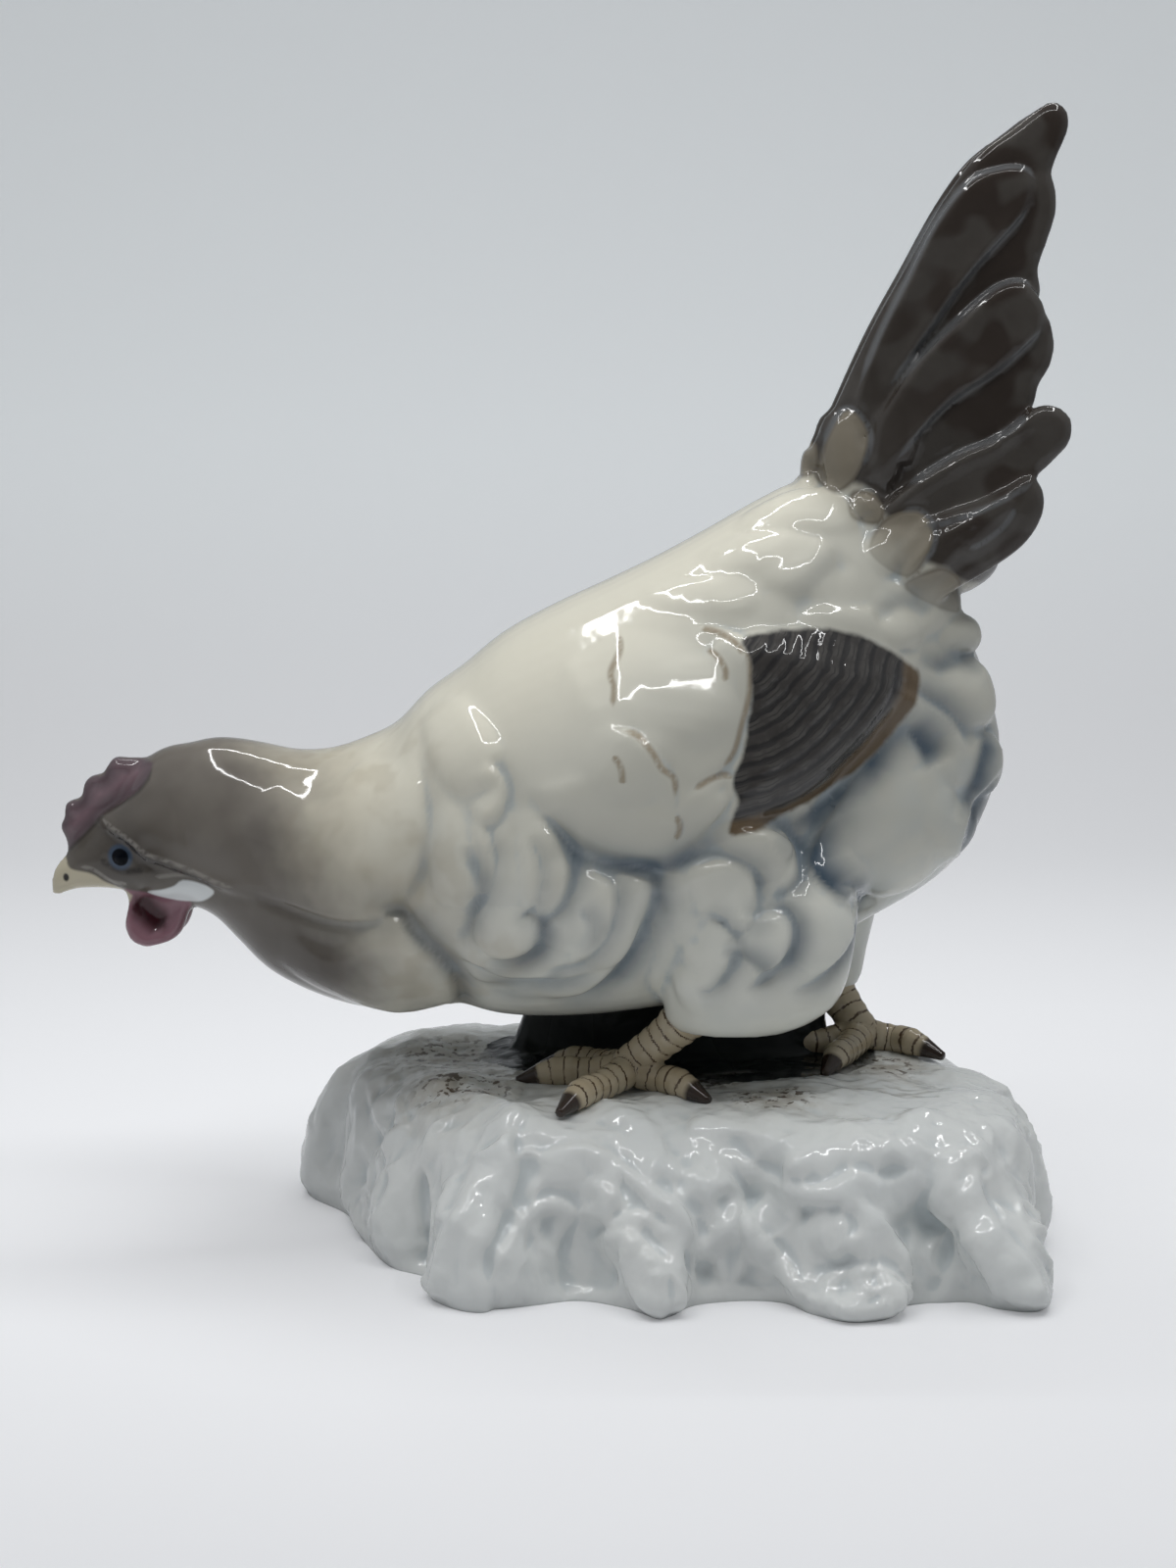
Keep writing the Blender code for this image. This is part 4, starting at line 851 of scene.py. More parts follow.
def add_plate(clay, outline, section, thickness, middle_y, lean=0.0):
    """Adds an upright plate with a rolled edge. A lean moves it out, more the further back it goes."""
    edge = smooth_outline(outline, PLATE_POINTS)
    centre = edge.mean(axis=0)
    rings = []
    for sign, steps in ((-1.0, section[::-1]), (1.0, section[1:])):
        for share, rise in steps:
            ring = []
            for point in edge:
                x, z = centre + (point - centre) * share
                middle = middle_y + lean * (x - TAIL_ROOT_X)
                ring.append((x, middle + 0.5 * thickness * sign * rise, z))
            rings.append(ring)
    add_rings(clay, rings)


def leaf(u, root_share, peak):
    """Outline of a blade: a narrow root, its full width at the peak, and a round tip."""
    if u < peak:
        return root_share + (1 - root_share) * math.sin(0.5 * math.pi * u / peak)
    return math.sqrt(max(0.0, 1 - ((u - peak) / (1 - peak)) ** 2))


def add_web(clay, path, width, thickness):
    """Adds the solid porcelain between the two fans: a thick blade in the middle plane."""
    places = [Vector((x, 0.0, z)) for x, z in smooth_path(path, 24)]
    length = sum((b - a).length for a, b in zip(places, places[1:]))
    peak = 1 - 0.6 * width / length
    rings = []
    for i, place in enumerate(places):
        u = 0.004 + 0.992 * i / (len(places) - 1)
        heading = (places[min(i + 1, len(places) - 1)] - places[max(i - 1, 0)]).normalized()
        across = heading.cross(Vector((0.0, 1.0, 0.0))).normalized()
        half_width = 0.5 * width * leaf(u, 0.75, peak)
        half_thickness = 0.5 * thickness * leaf(u, 0.9, 0.8)
        ring = []
        for angle in np.linspace(0.0, math.tau, WEB_SIDES, endpoint=False):
            out = Vector((0.0, half_thickness * math.sin(angle), 0.0))
            ring.append(place + across * (half_width * math.cos(angle)) + out)
        rings.append(ring)
    add_rings(clay, rings)


for path, width, thickness in TAIL_WEB:
    add_web(bird, path, width, thickness)
for side in (-1.0, 1.0):
    for place, outline in TAIL:
        add_plate(bird, outline, TAIL_SECTION, TAIL_PLATE_THICKNESS, side * place, side * TAIL_LEAN)
print(2 * len(TAIL), "tail plates round", len(TAIL_WEB), "webs")

# %% [markdown]
# ## Comb and wattles
#
# The comb is one upright plate with four points. The wattles are two hanging leaves, each hollowed like
# a spoon. Both are cut to an outline and given a rolled edge.

# %% Comb and wattles
COMB_THICKNESS = 5.6
WATTLE_THICKNESS = 5.0
WATTLE_OFFSET = 4.0
COMB = [
    (-96, 43.6), (-96.9, 46.6), (-98, 48.8), (-97, 50.6), (-96.9, 53.1), (-95.4, 54.3),
    (-93.4, 54.5), (-93.1, 56.6), (-92.4, 58.4), (-90.7, 59.3), (-88.9, 59.4), (-88, 61.4),
    (-86.6, 62.9), (-84.4, 62.7), (-80.9, 62.6), (-77.5, 61.5), (-80, 56), (-86, 50.5), (-92, 45),
]
WATTLE = [
    (-84.4, 38), (-84, 34.6), (-84.7, 31.4), (-84.8, 29), (-83.6, 26.6), (-81.1, 25.4),
    (-78.4, 25.8), (-75.2, 27), (-73.3, 29.1), (-72.2, 32.4), (-71.3, 35), (-74, 38.5), (-80, 40),
]
COMB_DENT = 0.12
WATTLE_DENT = 0.45


def dented_section(dent):
    """The section of a plate whose two faces are hollowed in the middle."""
    return [(1.0, 0.0), (0.97, 0.5), (0.9, 0.85), (0.75, 1.0), (0.5, 1.0 - dent), (0.2, 1.0 - 1.3 * dent)]


add_plate(bird, COMB, dented_section(COMB_DENT), COMB_THICKNESS, 0.0)
for side in (-1.0, 1.0):
    add_plate(bird, WATTLE, dented_section(WATTLE_DENT), WATTLE_THICKNESS, side * WATTLE_OFFSET)
print("comb and two wattles are on")

# %% [markdown]
# ## Melting it together
#
# A voxel remesh lays an even grid over everything, throws away what is inside, and leaves one closed
# skin. A few passes of smoothing then do what the glaze does: it fills the sharp corners.

# %% One skin for the bird
BIRD_STEP = 0.9
BIRD_SMOOTHING = 2


def melted(name, clay, step, passes):
    """One closed skin round everything in the clay, in metres. Steps are in millimetres."""
    made = plain_object(name, clay, MM)
    fuse = made.modifiers.new("fuse", "REMESH")
    fuse.mode = "VOXEL"
    fuse.voxel_size = step * MM
    soften = made.modifiers.new("soften", "SMOOTH")
    soften.factor = 0.5
    soften.iterations = passes
    graph = bpy.context.evaluated_depsgraph_get()
    mesh = bpy.data.meshes.new_from_object(made.evaluated_get(graph))
    bpy.data.objects.remove(made)
    mesh.name = name
    mesh.shade_smooth()
    made = bpy.data.objects.new(name, mesh)
    bpy.context.scene.collection.objects.link(made)
    print(name + ":", sum(len(face.vertices) - 2 for face in mesh.polygons), "triangles")
    return made


bmesh.ops.translate(bird, verts=bird.verts, vec=(0.0, 0.0, ROCK_HEIGHT))
hen = melted("porcelain_hen", bird, BIRD_STEP, BIRD_SMOOTHING)

# %% [markdown]
# ## Drawing on the skin
#
# Where one feather lies over another there is a lip, and a groove beside it. They are too fine for the
# lobes, so they are drawn as strokes: a path as seen from the side, with its raised side on the right.
# Every point of the mesh near a stroke moves out or in a little. The same strokes guide the brush later,
# because the painter let the blue run into the same grooves.


# %% Reading and moving the skin
FAR = 1e9
OUTSIDE = 20.0
OUTLINE_MARGIN = 12.0


def points_of(piece):
    """The piece's points in millimetres, with heights from the top of the rock, and its normals."""
    mesh = piece.data
    places = np.empty(len(mesh.vertices) * 3, np.float32)
    mesh.vertices.foreach_get("co", places)
    normals = np.empty(len(mesh.vertices) * 3, np.float32)
    mesh.vertex_normals.foreach_get("vector", normals)
    places = places.reshape(-1, 3).astype(float) / MM - (0.0, 0.0, ROCK_HEIGHT)
    return places, normals.reshape(-1, 3).astype(float)


def move_points(piece, places):
    moved = (places + (0.0, 0.0, ROCK_HEIGHT)) * MM
    piece.data.vertices.foreach_set("co", moved.astype(np.float32).ravel())
    piece.data.update()


def beside_path(spots, path, count=32):
    """For each spot in the plane: its distance to the path, its signed distance, and its share along it."""
    line = smooth_path(path, count)
    starts, steps = line[:-1], np.diff(line, axis=0)
    best = np.full(len(spots), FAR)
    signed = np.full(len(spots), FAR)
    share = np.zeros(len(spots))
    for i, (start, step) in enumerate(zip(starts, steps)):
        rel = spots - start
        t = np.clip(rel @ step / (step @ step), 0.0, 1.0)
        away = np.linalg.norm(rel - t[:, None] * step, axis=1)
        closer = away < best
        best[closer] = away[closer]
        side = np.sign(step[0] * rel[:, 1] - step[1] * rel[:, 0])
        signed[closer] = (side * away)[closer]
        share[closer] = (i + t[closer]) / len(steps)
    return best, signed, share


def nearby(places, path, reach):
    """Which points lie near a path seen from the side."""
    rows = np.array(path)[:, :2]
    low, high = rows.min(axis=0) - reach, rows.max(axis=0) + reach
    spots = places[:, [0, 2]]
    return np.where(np.all((spots > low) & (spots < high), axis=1))[0]


def inside_by(spots, outline, count=120):
    """How far each spot is inside a closed outline, in millimetres; outside it the number is negative."""
    edge = smooth_outline(outline, count)
    low, high = edge.min(axis=0) - OUTLINE_MARGIN, edge.max(axis=0) + OUTLINE_MARGIN
    depth = np.full(len(spots), -OUTSIDE)
    near = np.where(np.all((spots > low) & (spots < high), axis=1))[0]
    x, z = spots[near].T
    away = np.full(len(near), FAR)
    crossings = np.zeros(len(near), int)
    for (x1, z1), (x2, z2) in zip(edge, np.roll(edge, -1, axis=0)):
        step = np.array([x2 - x1, z2 - z1])
        t = np.clip(((x - x1) * step[0] + (z - z1) * step[1]) / (step @ step + 1e-9), 0.0, 1.0)
        away = np.minimum(away, np.hypot(x - x1 - t * step[0], z - z1 - t * step[1]))
        if z1 != z2:
            crossings += ((z1 > z) != (z2 > z)) & (x < x1 + (z - z1) * step[0] / (z2 - z1))
    depth[near] = np.where(crossings % 2 == 1, away, -away)
    return depth


def rise_from(values, start, length):
    """From 0 at the start evenly up to 1, a length further on."""
    return np.clip((values - start) / length, 0.0, 1.0)


def taper(share, ends=0.15):
    """Fades a stroke out at both ends."""
    return rise_from(np.minimum(share, 1.0 - share), 0.0, ends) ** 0.7


print("the hen's skin has", len(points_of(hen)[0]), "points")

# %% [markdown]
# The strokes were traced over the photograph, as lists of points in millimetres. A raised side and
# a groove of the same size make a step, a groove alone makes a line, and a negative lip makes a crease.

# %% The strokes
# Each stroke: its path, the lip's height and reach, the groove's depth and reach, and how blue it is
FEATHER_STROKES = [
    ([(-26, 66), (-24, 57), (-24.5, 48.5), (-26.5, 43), (-30, 38), (-35, 35.2), (-41, 34.6),
      (-48, 36), (-56, 38.4), (-62, 39)], 0.7, 4, 1, 2.2, 0.35),
    ([(-36, 36.8), (-30.2, 36.6), (-26.6, 32.2), (-23, 28.5), (-19.8, 24), (-18.6, 18), (-20, 12.5)],
     0.8, 4.0, 1.9, 2.8, 1.0),
    ([(-12.2, 66.5), (-9.3, 63.2), (-8.7, 59.9), (-10.2, 56.2), (-13, 54)], 1.2, 4, 1, 1.8, 0.2),
    ([(-12.9, 55.5), (-11.1, 49), (-12.4, 42.7), (-16.4, 38)], 0.7, 2.5, 0.9, 1.3, 0.3),
    ([(-2, 56.5), (2.8, 50.1), (3.2, 45.2), (0.9, 40.3), (-4.3, 37.2)], 1.2, 3.5, 1.2, 1.7, 0.65),
    ([(-4.5, 53), (-2.4, 47), (-3.3, 40.9), (-7.5, 37.2)], 0.5, 2.5, 0.6, 1.2, 0.3),
    ([(7.2, 47.5), (11.2, 44), (11.2, 39), (8.8, 32.9), (4, 28.5), (-2, 27)],
     0.6, 3.0, 0.8, 1.6, 0.45),
    ([(-4.5, 39.5), (-2.7, 36.6), (-3.3, 32.2), (-7, 29.8), (-13, 29)], 1.2, 3.5, 1.3, 1.8, 0.8),
    ([(-0.5, 33), (-6, 28.4), (-13, 27.2), (-18, 28.5)], 0.2, 2.5, 0.6, 1.5, 0.35),
    ([(9, 27.5), (0.3, 24.6), (-9.5, 25), (-17, 28.2)], 0.4, 3, 0.9, 1.6, 0.55),
    ([(12.4, 47.6), (17.3, 45.4), (18.4, 42.1), (17.2, 37.2), (14.3, 31), (10, 24.6), (5.2, 20.6),
      (-1.5, 19.2)], 1.3, 4, 1.7, 2.8, 0.75),
    ([(34.3, 54.3), (41, 53.8), (45.3, 50), (45.5, 45.9), (42.9, 43.2), (38, 41.8)],
     1.2, 3.5, 1.2, 1.8, 0.6),
    ([(24.6, 47.6), (30.7, 48.8), (36.4, 46.5), (37.7, 42.2), (36.3, 37), (32.2, 34.9)],
     1.1, 3.5, 1.1, 1.6, 0.45),
    ([(27.6, 39), (33.1, 34.4), (33.3, 29.8), (30.1, 24.8), (26.4, 23.2)], 0.5, 3, 0.8, 1.5, 0.4),
    ([(34.8, 37.4), (42.1, 38.6), (44.4, 34.9), (42.2, 29.4), (35.5, 23.8)], 0.9, 3, 1.1, 1.7, 0.75),
    ([(50.5, 42.5), (55.5, 42), (57.6, 39), (57, 34), (51.5, 27.1), (44, 23.6)],
     0.7, 3.0, 1.1, 1.8, 0.75),
    ([(58, 66.5), (50.1, 53.5), (47.6, 47.7), (49.6, 44.2), (53.3, 41.2), (58, 38.6)],
     -1.2, 2.6, -0.8, 4.0, 0.95),
    ([(20.4, 18), (18.6, 23.5), (19.8, 29.8), (18.2, 37.2), (19, 44.4)], 0.3, 4, 0.6, 3, 0.2),
    ([(88, 62), (82, 56), (79, 48), (81, 42)], 0.5, 3, 1.2, 2.2, 0.8),
    ([(64, 80), (70, 76.5), (76, 72), (80, 66)], 0.4, 3.5, 1, 2.4, 0.55),
]
WING_STROKES = [
    ([(11.7, 73.1), (15.3, 72.3), (18.2, 69.3), (20.3, 66.3), (22.2, 63.2), (22.1, 57.9)],
     0.6, 3.0, 0.5, 1.1, 0.0),
    ([(22.1, 57.9), (23.3, 56.1), (23.1, 53.7), (21.6, 52.4)], 0.5, 2, 0.5, 1, 0),
    ([(24.2, 61.2), (28.9, 63.9), (31.9, 64.5), (33.3, 63.3), (32.9, 60.2), (30.2, 56.6), (26.6, 52.9)],
     0.6, 2.2, 0.5, 1.0, 0.0),
    ([(26.5, 90.9), (31, 90.6), (35.3, 89), (36.4, 85.4), (36.4, 79.4), (35, 73.5), (33.2, 68.1),
      (29.5, 64.3), (25, 62)], 0.6, 3.5, 0.4, 1, 0),
]
TAIL_STROKES = [
    [(56.3, 128.7), (58.9, 137), (62.1, 145.2), (66.6, 154.4), (71.7, 164.8), (76.8, 171.9),
     (80.7, 174.8), (87.3, 175.9), (90.2, 174), (90.3, 171)],
    [(90.3, 171.5), (88.5, 167.2), (85.6, 163.6), (81.7, 159.4), (77.8, 154.8), (73.3, 148.3), (68.8, 141.7),
     (64.9, 136.4), (61.6, 130.4)],
    [(62.1, 129.8), (68.6, 139.7), (75.1, 146.3), (80.9, 151.8), (84.8, 154.3), (88.8, 154.6), (92.2, 151)],
    [(92.2, 147.5), (91.2, 144.9), (87.8, 141.3), (83.2, 137.5), (79.3, 134.9), (74.7, 131.6), (70.1, 127),
     (66.2, 122.4), (62.3, 117.6)],
    [(64.7, 114.2), (70.6, 118.8), (77.1, 122.8), (82.4, 124.9), (87.4, 128), (90.2, 131.6)],
    [(91.8, 118.4), (86.6, 115.1), (80, 111.8), (73.4, 109.5), (67, 108)],
    [(77.1, 104.1), (81, 106.1), (85, 109.5), (87.3, 113.7)],
    [(51.2, 120.8), (52.3, 126.1), (55.4, 130.8), (58.3, 129.9), (60.4, 126.1), (59.6, 121.5), (57, 117.8)],
    [(63.8, 110.9), (69.2, 112), (71.9, 108.4), (71, 103.8), (67, 100.3)],
]
LOWER_LID = [(-90.2, 43.8), (-87.4, 42.2), (-84.9, 41.2), (-81.7, 41.4), (-79.1, 42.4)]
HEAD_STROKES = [
    ([(-95, 44.8), (-92.5, 47.6), (-89.9, 50.3), (-86.9, 48.7), (-83.5, 47), (-81.6, 45.4), (-79.7, 44),
      (-76.6, 43.2), (-72.8, 41.8), (-69, 40.4), (-65.9, 39.1), (-62, 38.3), (-57, 37.2)],
     -1.1, 2.4, -1.1, 1.7, 0.0),
    ([(-96.4, 44.4), (-93.6, 47.1), (-91, 49.7), (-88.7, 52.2), (-84.5, 54.8), (-80.9, 57.5),
      (-78.9, 60.4)], 0.7, 1.6, 0.7, 1.2, 0),
    (LOWER_LID, 0.3, 1.4, 0.25, 0.8, 0.0),
    ([(-96.8, 42.8), (-96.3, 41.5), (-95.2, 40.6), (-91.1, 40.1), (-88.2, 37.9), (-86.3, 37.2)],
     0.0, 1.0, 0.45, 0.7, 0.0),
    ([(-79.9, 37.3), (-76.6, 37.7), (-74, 38.7), (-72.7, 39.8), (-71.2, 40), (-68.9, 39.5), (-66.6, 38.7),
      (-66, 37.4)], 0.45, 2.5, 0.35, 0.8, 0),
    ([(-83.1, 37.5), (-80.6, 36.3), (-78, 35.1), (-75.9, 32.8), (-74.6, 30.2)], -0.5, 1.3, 0, 1, 0),
    ([(-75.6, 56), (-73, 52.3), (-72.2, 49.7), (-71.7, 46.8)], 0.15, 2, 0.2, 1, 0),
]
WATTLE_HOLLOW = [(-82.2, 35.2), (-80.6, 33.2), (-78.8, 31.3), (-77.2, 29.9)]
WING_PATCH = [
    (35.2, 88.8), (38.8, 90), (49.6, 90.6), (57, 89.2), (61.8, 87), (66.9, 83.6), (69.2, 81),
    (68.4, 76.2), (65.4, 72), (59, 65.4), (50.6, 59.8), (43, 56.2), (38.2, 54.2), (32.5, 53.6),
    (34.1, 58.9), (33.3, 63.5), (34.9, 68), (36.3, 75.3), (36.6, 81.6), (36.2, 86.1),
]
# Soft creases with no lip: path, depth, reach, and how blue it is
CREASES = [
    ([(68.5, 76.5), (60, 66.5), (53.5, 60.3), (47.5, 56.3), (40, 52.5)], 1, 2.6, 1),
    ([(65.5, 71.5), (69, 67.5), (71, 63)], 1, 3.4, 0.9),
    ([(83, 71), (82, 66), (80.2, 60), (77, 53)], 1.2, 2.6, 0.9),
    ([(68.5, 83.5), (73, 81.5), (78, 82), (82.5, 80)], 0.9, 2.2, 0.6),
    ([(0, 51.6), (8.8, 47.8), (16, 46.2), (22, 46.6), (27.3, 49.4), (34, 53)], 0.9, 2.2, 0.85),
    ([(-33, 37.5), (-28.5, 36), (-25.5, 32.5), (-22, 27), (-20, 22)], 0.5, 2.6, 1),
    ([(56, 40), (60, 36.5), (59, 31)], 0.6, 2.4, 0.5),
    ([(4, 30), (-4, 23.5), (-14, 21.5)], 0.5, 2, 0.45),
    ([(-16.5, 50.5), (-14, 44), (-15.5, 37), (-19, 31)], 0.8, 1.8, 0.6),
    ([(3, 41), (7, 36.5), (5.5, 30.5)], 0.5, 1.8, 0.4),
    ([(31, 31), (37, 29), (40, 25)], 0.6, 2, 0.55),
    ([(44, 92.5), (50, 99), (56, 103.5)], 0.7, 2.4, 0.15),
    ([(30, 97), (40, 101.5), (50, 107.5)], 0.5, 2.4, 0),
    ([(60, 92), (66, 94), (72, 92)], 0.8, 2, 0.35),
]
# Lip, its reach, groove, its reach and blue of the strokes that are all alike
TAIL_STROKE = (0.5, 1.6, 0.6, 0.9, 0.0)
WATTLE_STROKE = (-1.0, 1.5, 1.0, 1.5, 0.0)
# Round marks on both sides: x, height, reach, and how far out (a hollow's is negative)
THUMB_MARKS = [
    (-84.8, 43.7, 3.4, -1), (-85, 43.9, 1.5, 1.3), (-96.7, 39, 0.9, -0.5), (-88.5, 40, 3, -0.4),
    (-79, 40, 3, 0.5), (-80, 49.5, 3.5, 0.6), (-74, 46, 3.5, 0.4),
    (66, 88, 3, 1), (40, 103, 4.5, 0.8), (20, 70, 7, 0.4), (20, 83, 5, 0.6),
    (30, 76, 5, 0.5),
]
tail_rows = [(path, *TAIL_STROKE) for path in TAIL_STROKES]
crease_rows = [(path, -depth, reach, depth, reach, blue) for path, depth, reach, blue in CREASES]
hollow_row = [(WATTLE_HOLLOW, *WATTLE_STROKE)]
print(len(FEATHER_STROKES), "feathers,", len(crease_rows), "creases and", len(THUMB_MARKS), "marks to draw")

# %% Drawing them
STROKE_EDGE = 0.36
STROKE_EDGE_GROWTH = 0.25
STROKE_MARGIN = 2.5
SIDE_START = 0.12
SIDE_LENGTH = 0.3
WING_GROOVE = 0.24
WING_GROOVE_SHIFT = 0.1
WING_PATCH_FADE = 1.5


def draw_strokes(piece, strokes, front_only=False):
    """Moves the piece's points out to a lip on the right of each stroke, and in to a groove on its left."""
    places, normals = points_of(piece)
    push = np.zeros(len(places))
    sideways = -normals[:, 1] if front_only else np.abs(normals[:, 1])
    facing = rise_from(sideways, SIDE_START, SIDE_LENGTH)
    for path, lip, lip_reach, cut, cut_reach, _ in strokes:
        near = nearby(places, path, STROKE_MARGIN * max(lip_reach, cut_reach))
        _, signed, share = beside_path(places[near][:, [0, 2]], path)
        edge = STROKE_EDGE + STROKE_EDGE_GROWTH * (abs(lip) + abs(cut))
        left = 0.5 + 0.5 * np.tanh(signed / edge)
        fade = taper(share)
        groove = -cut * np.exp(-((signed / cut_reach) ** 2))
        raised = lip * np.exp(-((signed / lip_reach) ** 2))
        push[near] += fade * (left * groove + (1.0 - left) * raised)
    move_points(piece, places + normals * (push * facing)[:, None])


def press_thumb(piece, marks):
    """Presses round hollows into both sides, or raises round beads: (x, height, reach, how far out)."""
    places, normals = points_of(piece)
    push = np.zeros(len(places))
    facing = rise_from(np.abs(normals[:, 1]), SIDE_START, SIDE_LENGTH)
    for x, z, reach, out in marks:
        away = np.hypot(places[:, 0] - x, places[:, 2] - z)
        push += out * np.exp(-((away / reach) ** 2))
    move_points(piece, places + normals * (push * facing)[:, None])


def comb_wing(piece):
    """Cuts a shallow groove between each two long feathers of the wing."""
    places, normals = points_of(piece)
    spots = places[:, [0, 2]]
    near = nearby(places, WING_PATCH, 2.0)
    _, across, _ = beside_path(spots[near], WING_REAR_EDGE, 40)
    wave = 0.5 + 0.5 * np.cos(math.tau * (across / WING_FEATHER_PITCH - WING_GROOVE_SHIFT))
    inside = rise_from(inside_by(spots[near], WING_PATCH), 0.0, WING_PATCH_FADE)
    places[near] -= normals[near] * (WING_GROOVE * inside * wave**2)[:, None]
    move_points(piece, places)


for rows in (FEATHER_STROKES, WING_STROKES, crease_rows, tail_rows, HEAD_STROKES, hollow_row):
    draw_strokes(hen, rows)
press_thumb(hen, THUMB_MARKS)
comb_wing(hen)
print(len(FEATHER_STROKES + WING_STROKES + tail_rows + HEAD_STROKES), "strokes are drawn on both sides")

# %% [markdown]
# ## Feet
#
# A hen's toe is a tapered roll with a claw, and its skin is a row of overlapping scales. The rolls are
# tubes along a few points. The scales are rings, and rings that repeat along a path are work for
# Geometry Nodes: it walks along each toe and wraps a band round it at every step.

# %% The feet's sizes
FOOT_STEP = 0.36
SCUTE_SPACING = 2.7
BAND_RISE = 0.05
BAND_HALF_WIDTH = 0.22
CLAW_LENGTH = 7.5
SHANK_RADIUS = 3.9
TOE_RADIUS = 2.9
NEAR_SHANK = [(27.5, -20.5, 17.0), (22.5, -18.5, 11.5), (17.0, -16.5, 6.5), (14.0, -15.8, 4.0)]
FAR_SHANK = [(55.0, 17.5, 17.0), (58.5, 16.0, 10.5), (61.5, 14.0, 6.0), (63.0, 13.5, 3.8)]
NEAR_TOES = [
    [(14.5, -15.6), (7, -13.5), (0, -13)],
    [(13.5, -14), (8.5, -6.5), (3.5, -4)],
    [(14.5, -16.5), (9, -24), (5, -30.5)],
    [(15, -16), (20.5, -18.5), (24.5, -22.5)],
]
FAR_TOES = [
    [(63, 13.5), (69, 14), (73, 11)],
    [(62, 13.5), (54.5, 10.5), (49, 9.5)],
    [(62.5, 13), (59, 5), (56.5, -0.5)],
    [(63, 14), (61.5, 20), (62.5, 25)],
]
# Radius along a shank and along a toe, as shares of its own
SHANK_TAPER = (1.3, 1.0, 0.92, 0.95)
TOE_TAPER = (1.15, 1.0, 0.95, 0.3)
TUBE_SIDES = 24
BAND_SIDES = 20
BAND_CORNERS = 6
GUIDE_POINTS = 24
GUIDE_POINTS_BEFORE_CLAW = 19
print(len(NEAR_TOES + FAR_TOES), "toes on two shanks")


# %% Toes and their scales
def add_tube(clay, path, radii, rings_wanted=20):
    """Adds a round bar through a path, whose radius changes along it."""
    rows = smooth_path([(*place, radius) for place, radius in zip(path, radii)], rings_wanted)
    places = [Vector(row[:3]) for row in rows]
    rings = []
    for i, place in enumerate(places):
        heading = (places[min(i + 1, rings_wanted - 1)] - places[max(i - 1, 0)]).normalized()
        across = heading.cross(Vector((0.0, 0.0, 1.0)))
        if across.length < 0.2:
            across = heading.cross(Vector((0.0, 1.0, 0.0)))
        across.normalize()
        up = across.cross(heading).normalized()
        radius = max(rows[i][3], 0.1)
        ring = []
        for angle in np.linspace(0.0, math.tau, TUBE_SIDES, endpoint=False):
            ring.append(place + across * (radius * math.cos(angle)) + up * (radius * math.sin(angle)))
        rings.append(ring)
    add_rings(clay, rings)


def foot_lines():
    """Every shank and toe as (path, radii), in millimetres above the rock's top."""
    lines = []
    for shank, toes in ((NEAR_SHANK, NEAR_TOES), (FAR_SHANK, FAR_TOES)):
        lines.append((shank, [share * SHANK_RADIUS for share in SHANK_TAPER]))
        for toe in toes:
            (x1, y1), (x2, y2) = toe[-2:]
            length = math.hypot(x2 - x1, y2 - y1)
            claw = (x2 + CLAW_LENGTH * (x2 - x1) / length, y2 + CLAW_LENGTH * (y2 - y1) / length)
            path = [(x, y, 0.8 * TOE_RADIUS) for x, y in toe]
            path[0] = (*toe[0], 1.2 * TOE_RADIUS)
            path.append((*claw, 0.1 * TOE_RADIUS))
            lines.append((path, [share * TOE_RADIUS for share in TOE_TAPER]))
    return lines


def build_band():
    """A thin ring of radius one about Z, which is scaled to each place on a toe."""
    clay = bmesh.new()
    rows = []
    for angle in np.linspace(0.0, math.tau, BAND_SIDES, endpoint=False):
        row = []
        for turn in np.linspace(0.0, math.tau, BAND_CORNERS, endpoint=False):
            reach = 1.0 + BAND_RISE * math.cos(turn)
            height = BAND_HALF_WIDTH * math.sin(turn)
            row.append(clay.verts.new((reach * math.cos(angle), reach * math.sin(angle), height)))
        rows.append(row)
    for i, row in enumerate(rows):
        after = rows[(i + 1) % len(rows)]
        for j in range(len(row)):
            k = (j + 1) % len(row)
            clay.faces.new((row[j], after[j], after[k], row[k]))
    return plain_object("scute_band", clay)


def scute_tree():
    inputs = [("Band", "Object"), ("Spacing", "Float"), ("Glaze", "Material")]
    tree, given, result = new_tree("wrap_scutes", inputs)
    curve = tree.nodes.new("GeometryNodeMeshToCurve")
    tree.links.new(given.outputs["Geometry"], curve.inputs["Mesh"])
    walk = tree.nodes.new("GeometryNodeResampleCurve")
    walk.mode = "LENGTH"
    tree.links.new(curve.outputs["Curve"], walk.inputs["Curve"])
    tree.links.new(given.outputs["Spacing"], walk.inputs["Length"])
    turn = tree.nodes.new("FunctionNodeAlignRotationToVector")
    turn.axis = "Z"
    tangent = tree.nodes.new("GeometryNodeInputTangent")
    tree.links.new(tangent.outputs["Tangent"], turn.inputs["Vector"])
    wrap = tree.nodes.new("GeometryNodeInstanceOnPoints")
    tree.links.new(walk.outputs["Curve"], wrap.inputs["Points"])
    plug(tree, wrap.inputs["Instance"], object_mesh(tree, Wire(tree, given.outputs["Band"])))
    tree.links.new(turn.outputs["Rotation"], wrap.inputs["Rotation"])
    size = tree.nodes.new("ShaderNodeCombineXYZ")
    for socket in size.inputs:
        plug(tree, socket, named(tree, "roll"))
    plug(tree, wrap.inputs["Scale"], Wire(tree, size.outputs[0]))
    realize = tree.nodes.new("GeometryNodeRealizeInstances")
    tree.links.new(wrap.outputs["Instances"], realize.inputs["Geometry"])
    return close_tree(tree, given, result, realize.outputs["Geometry"])


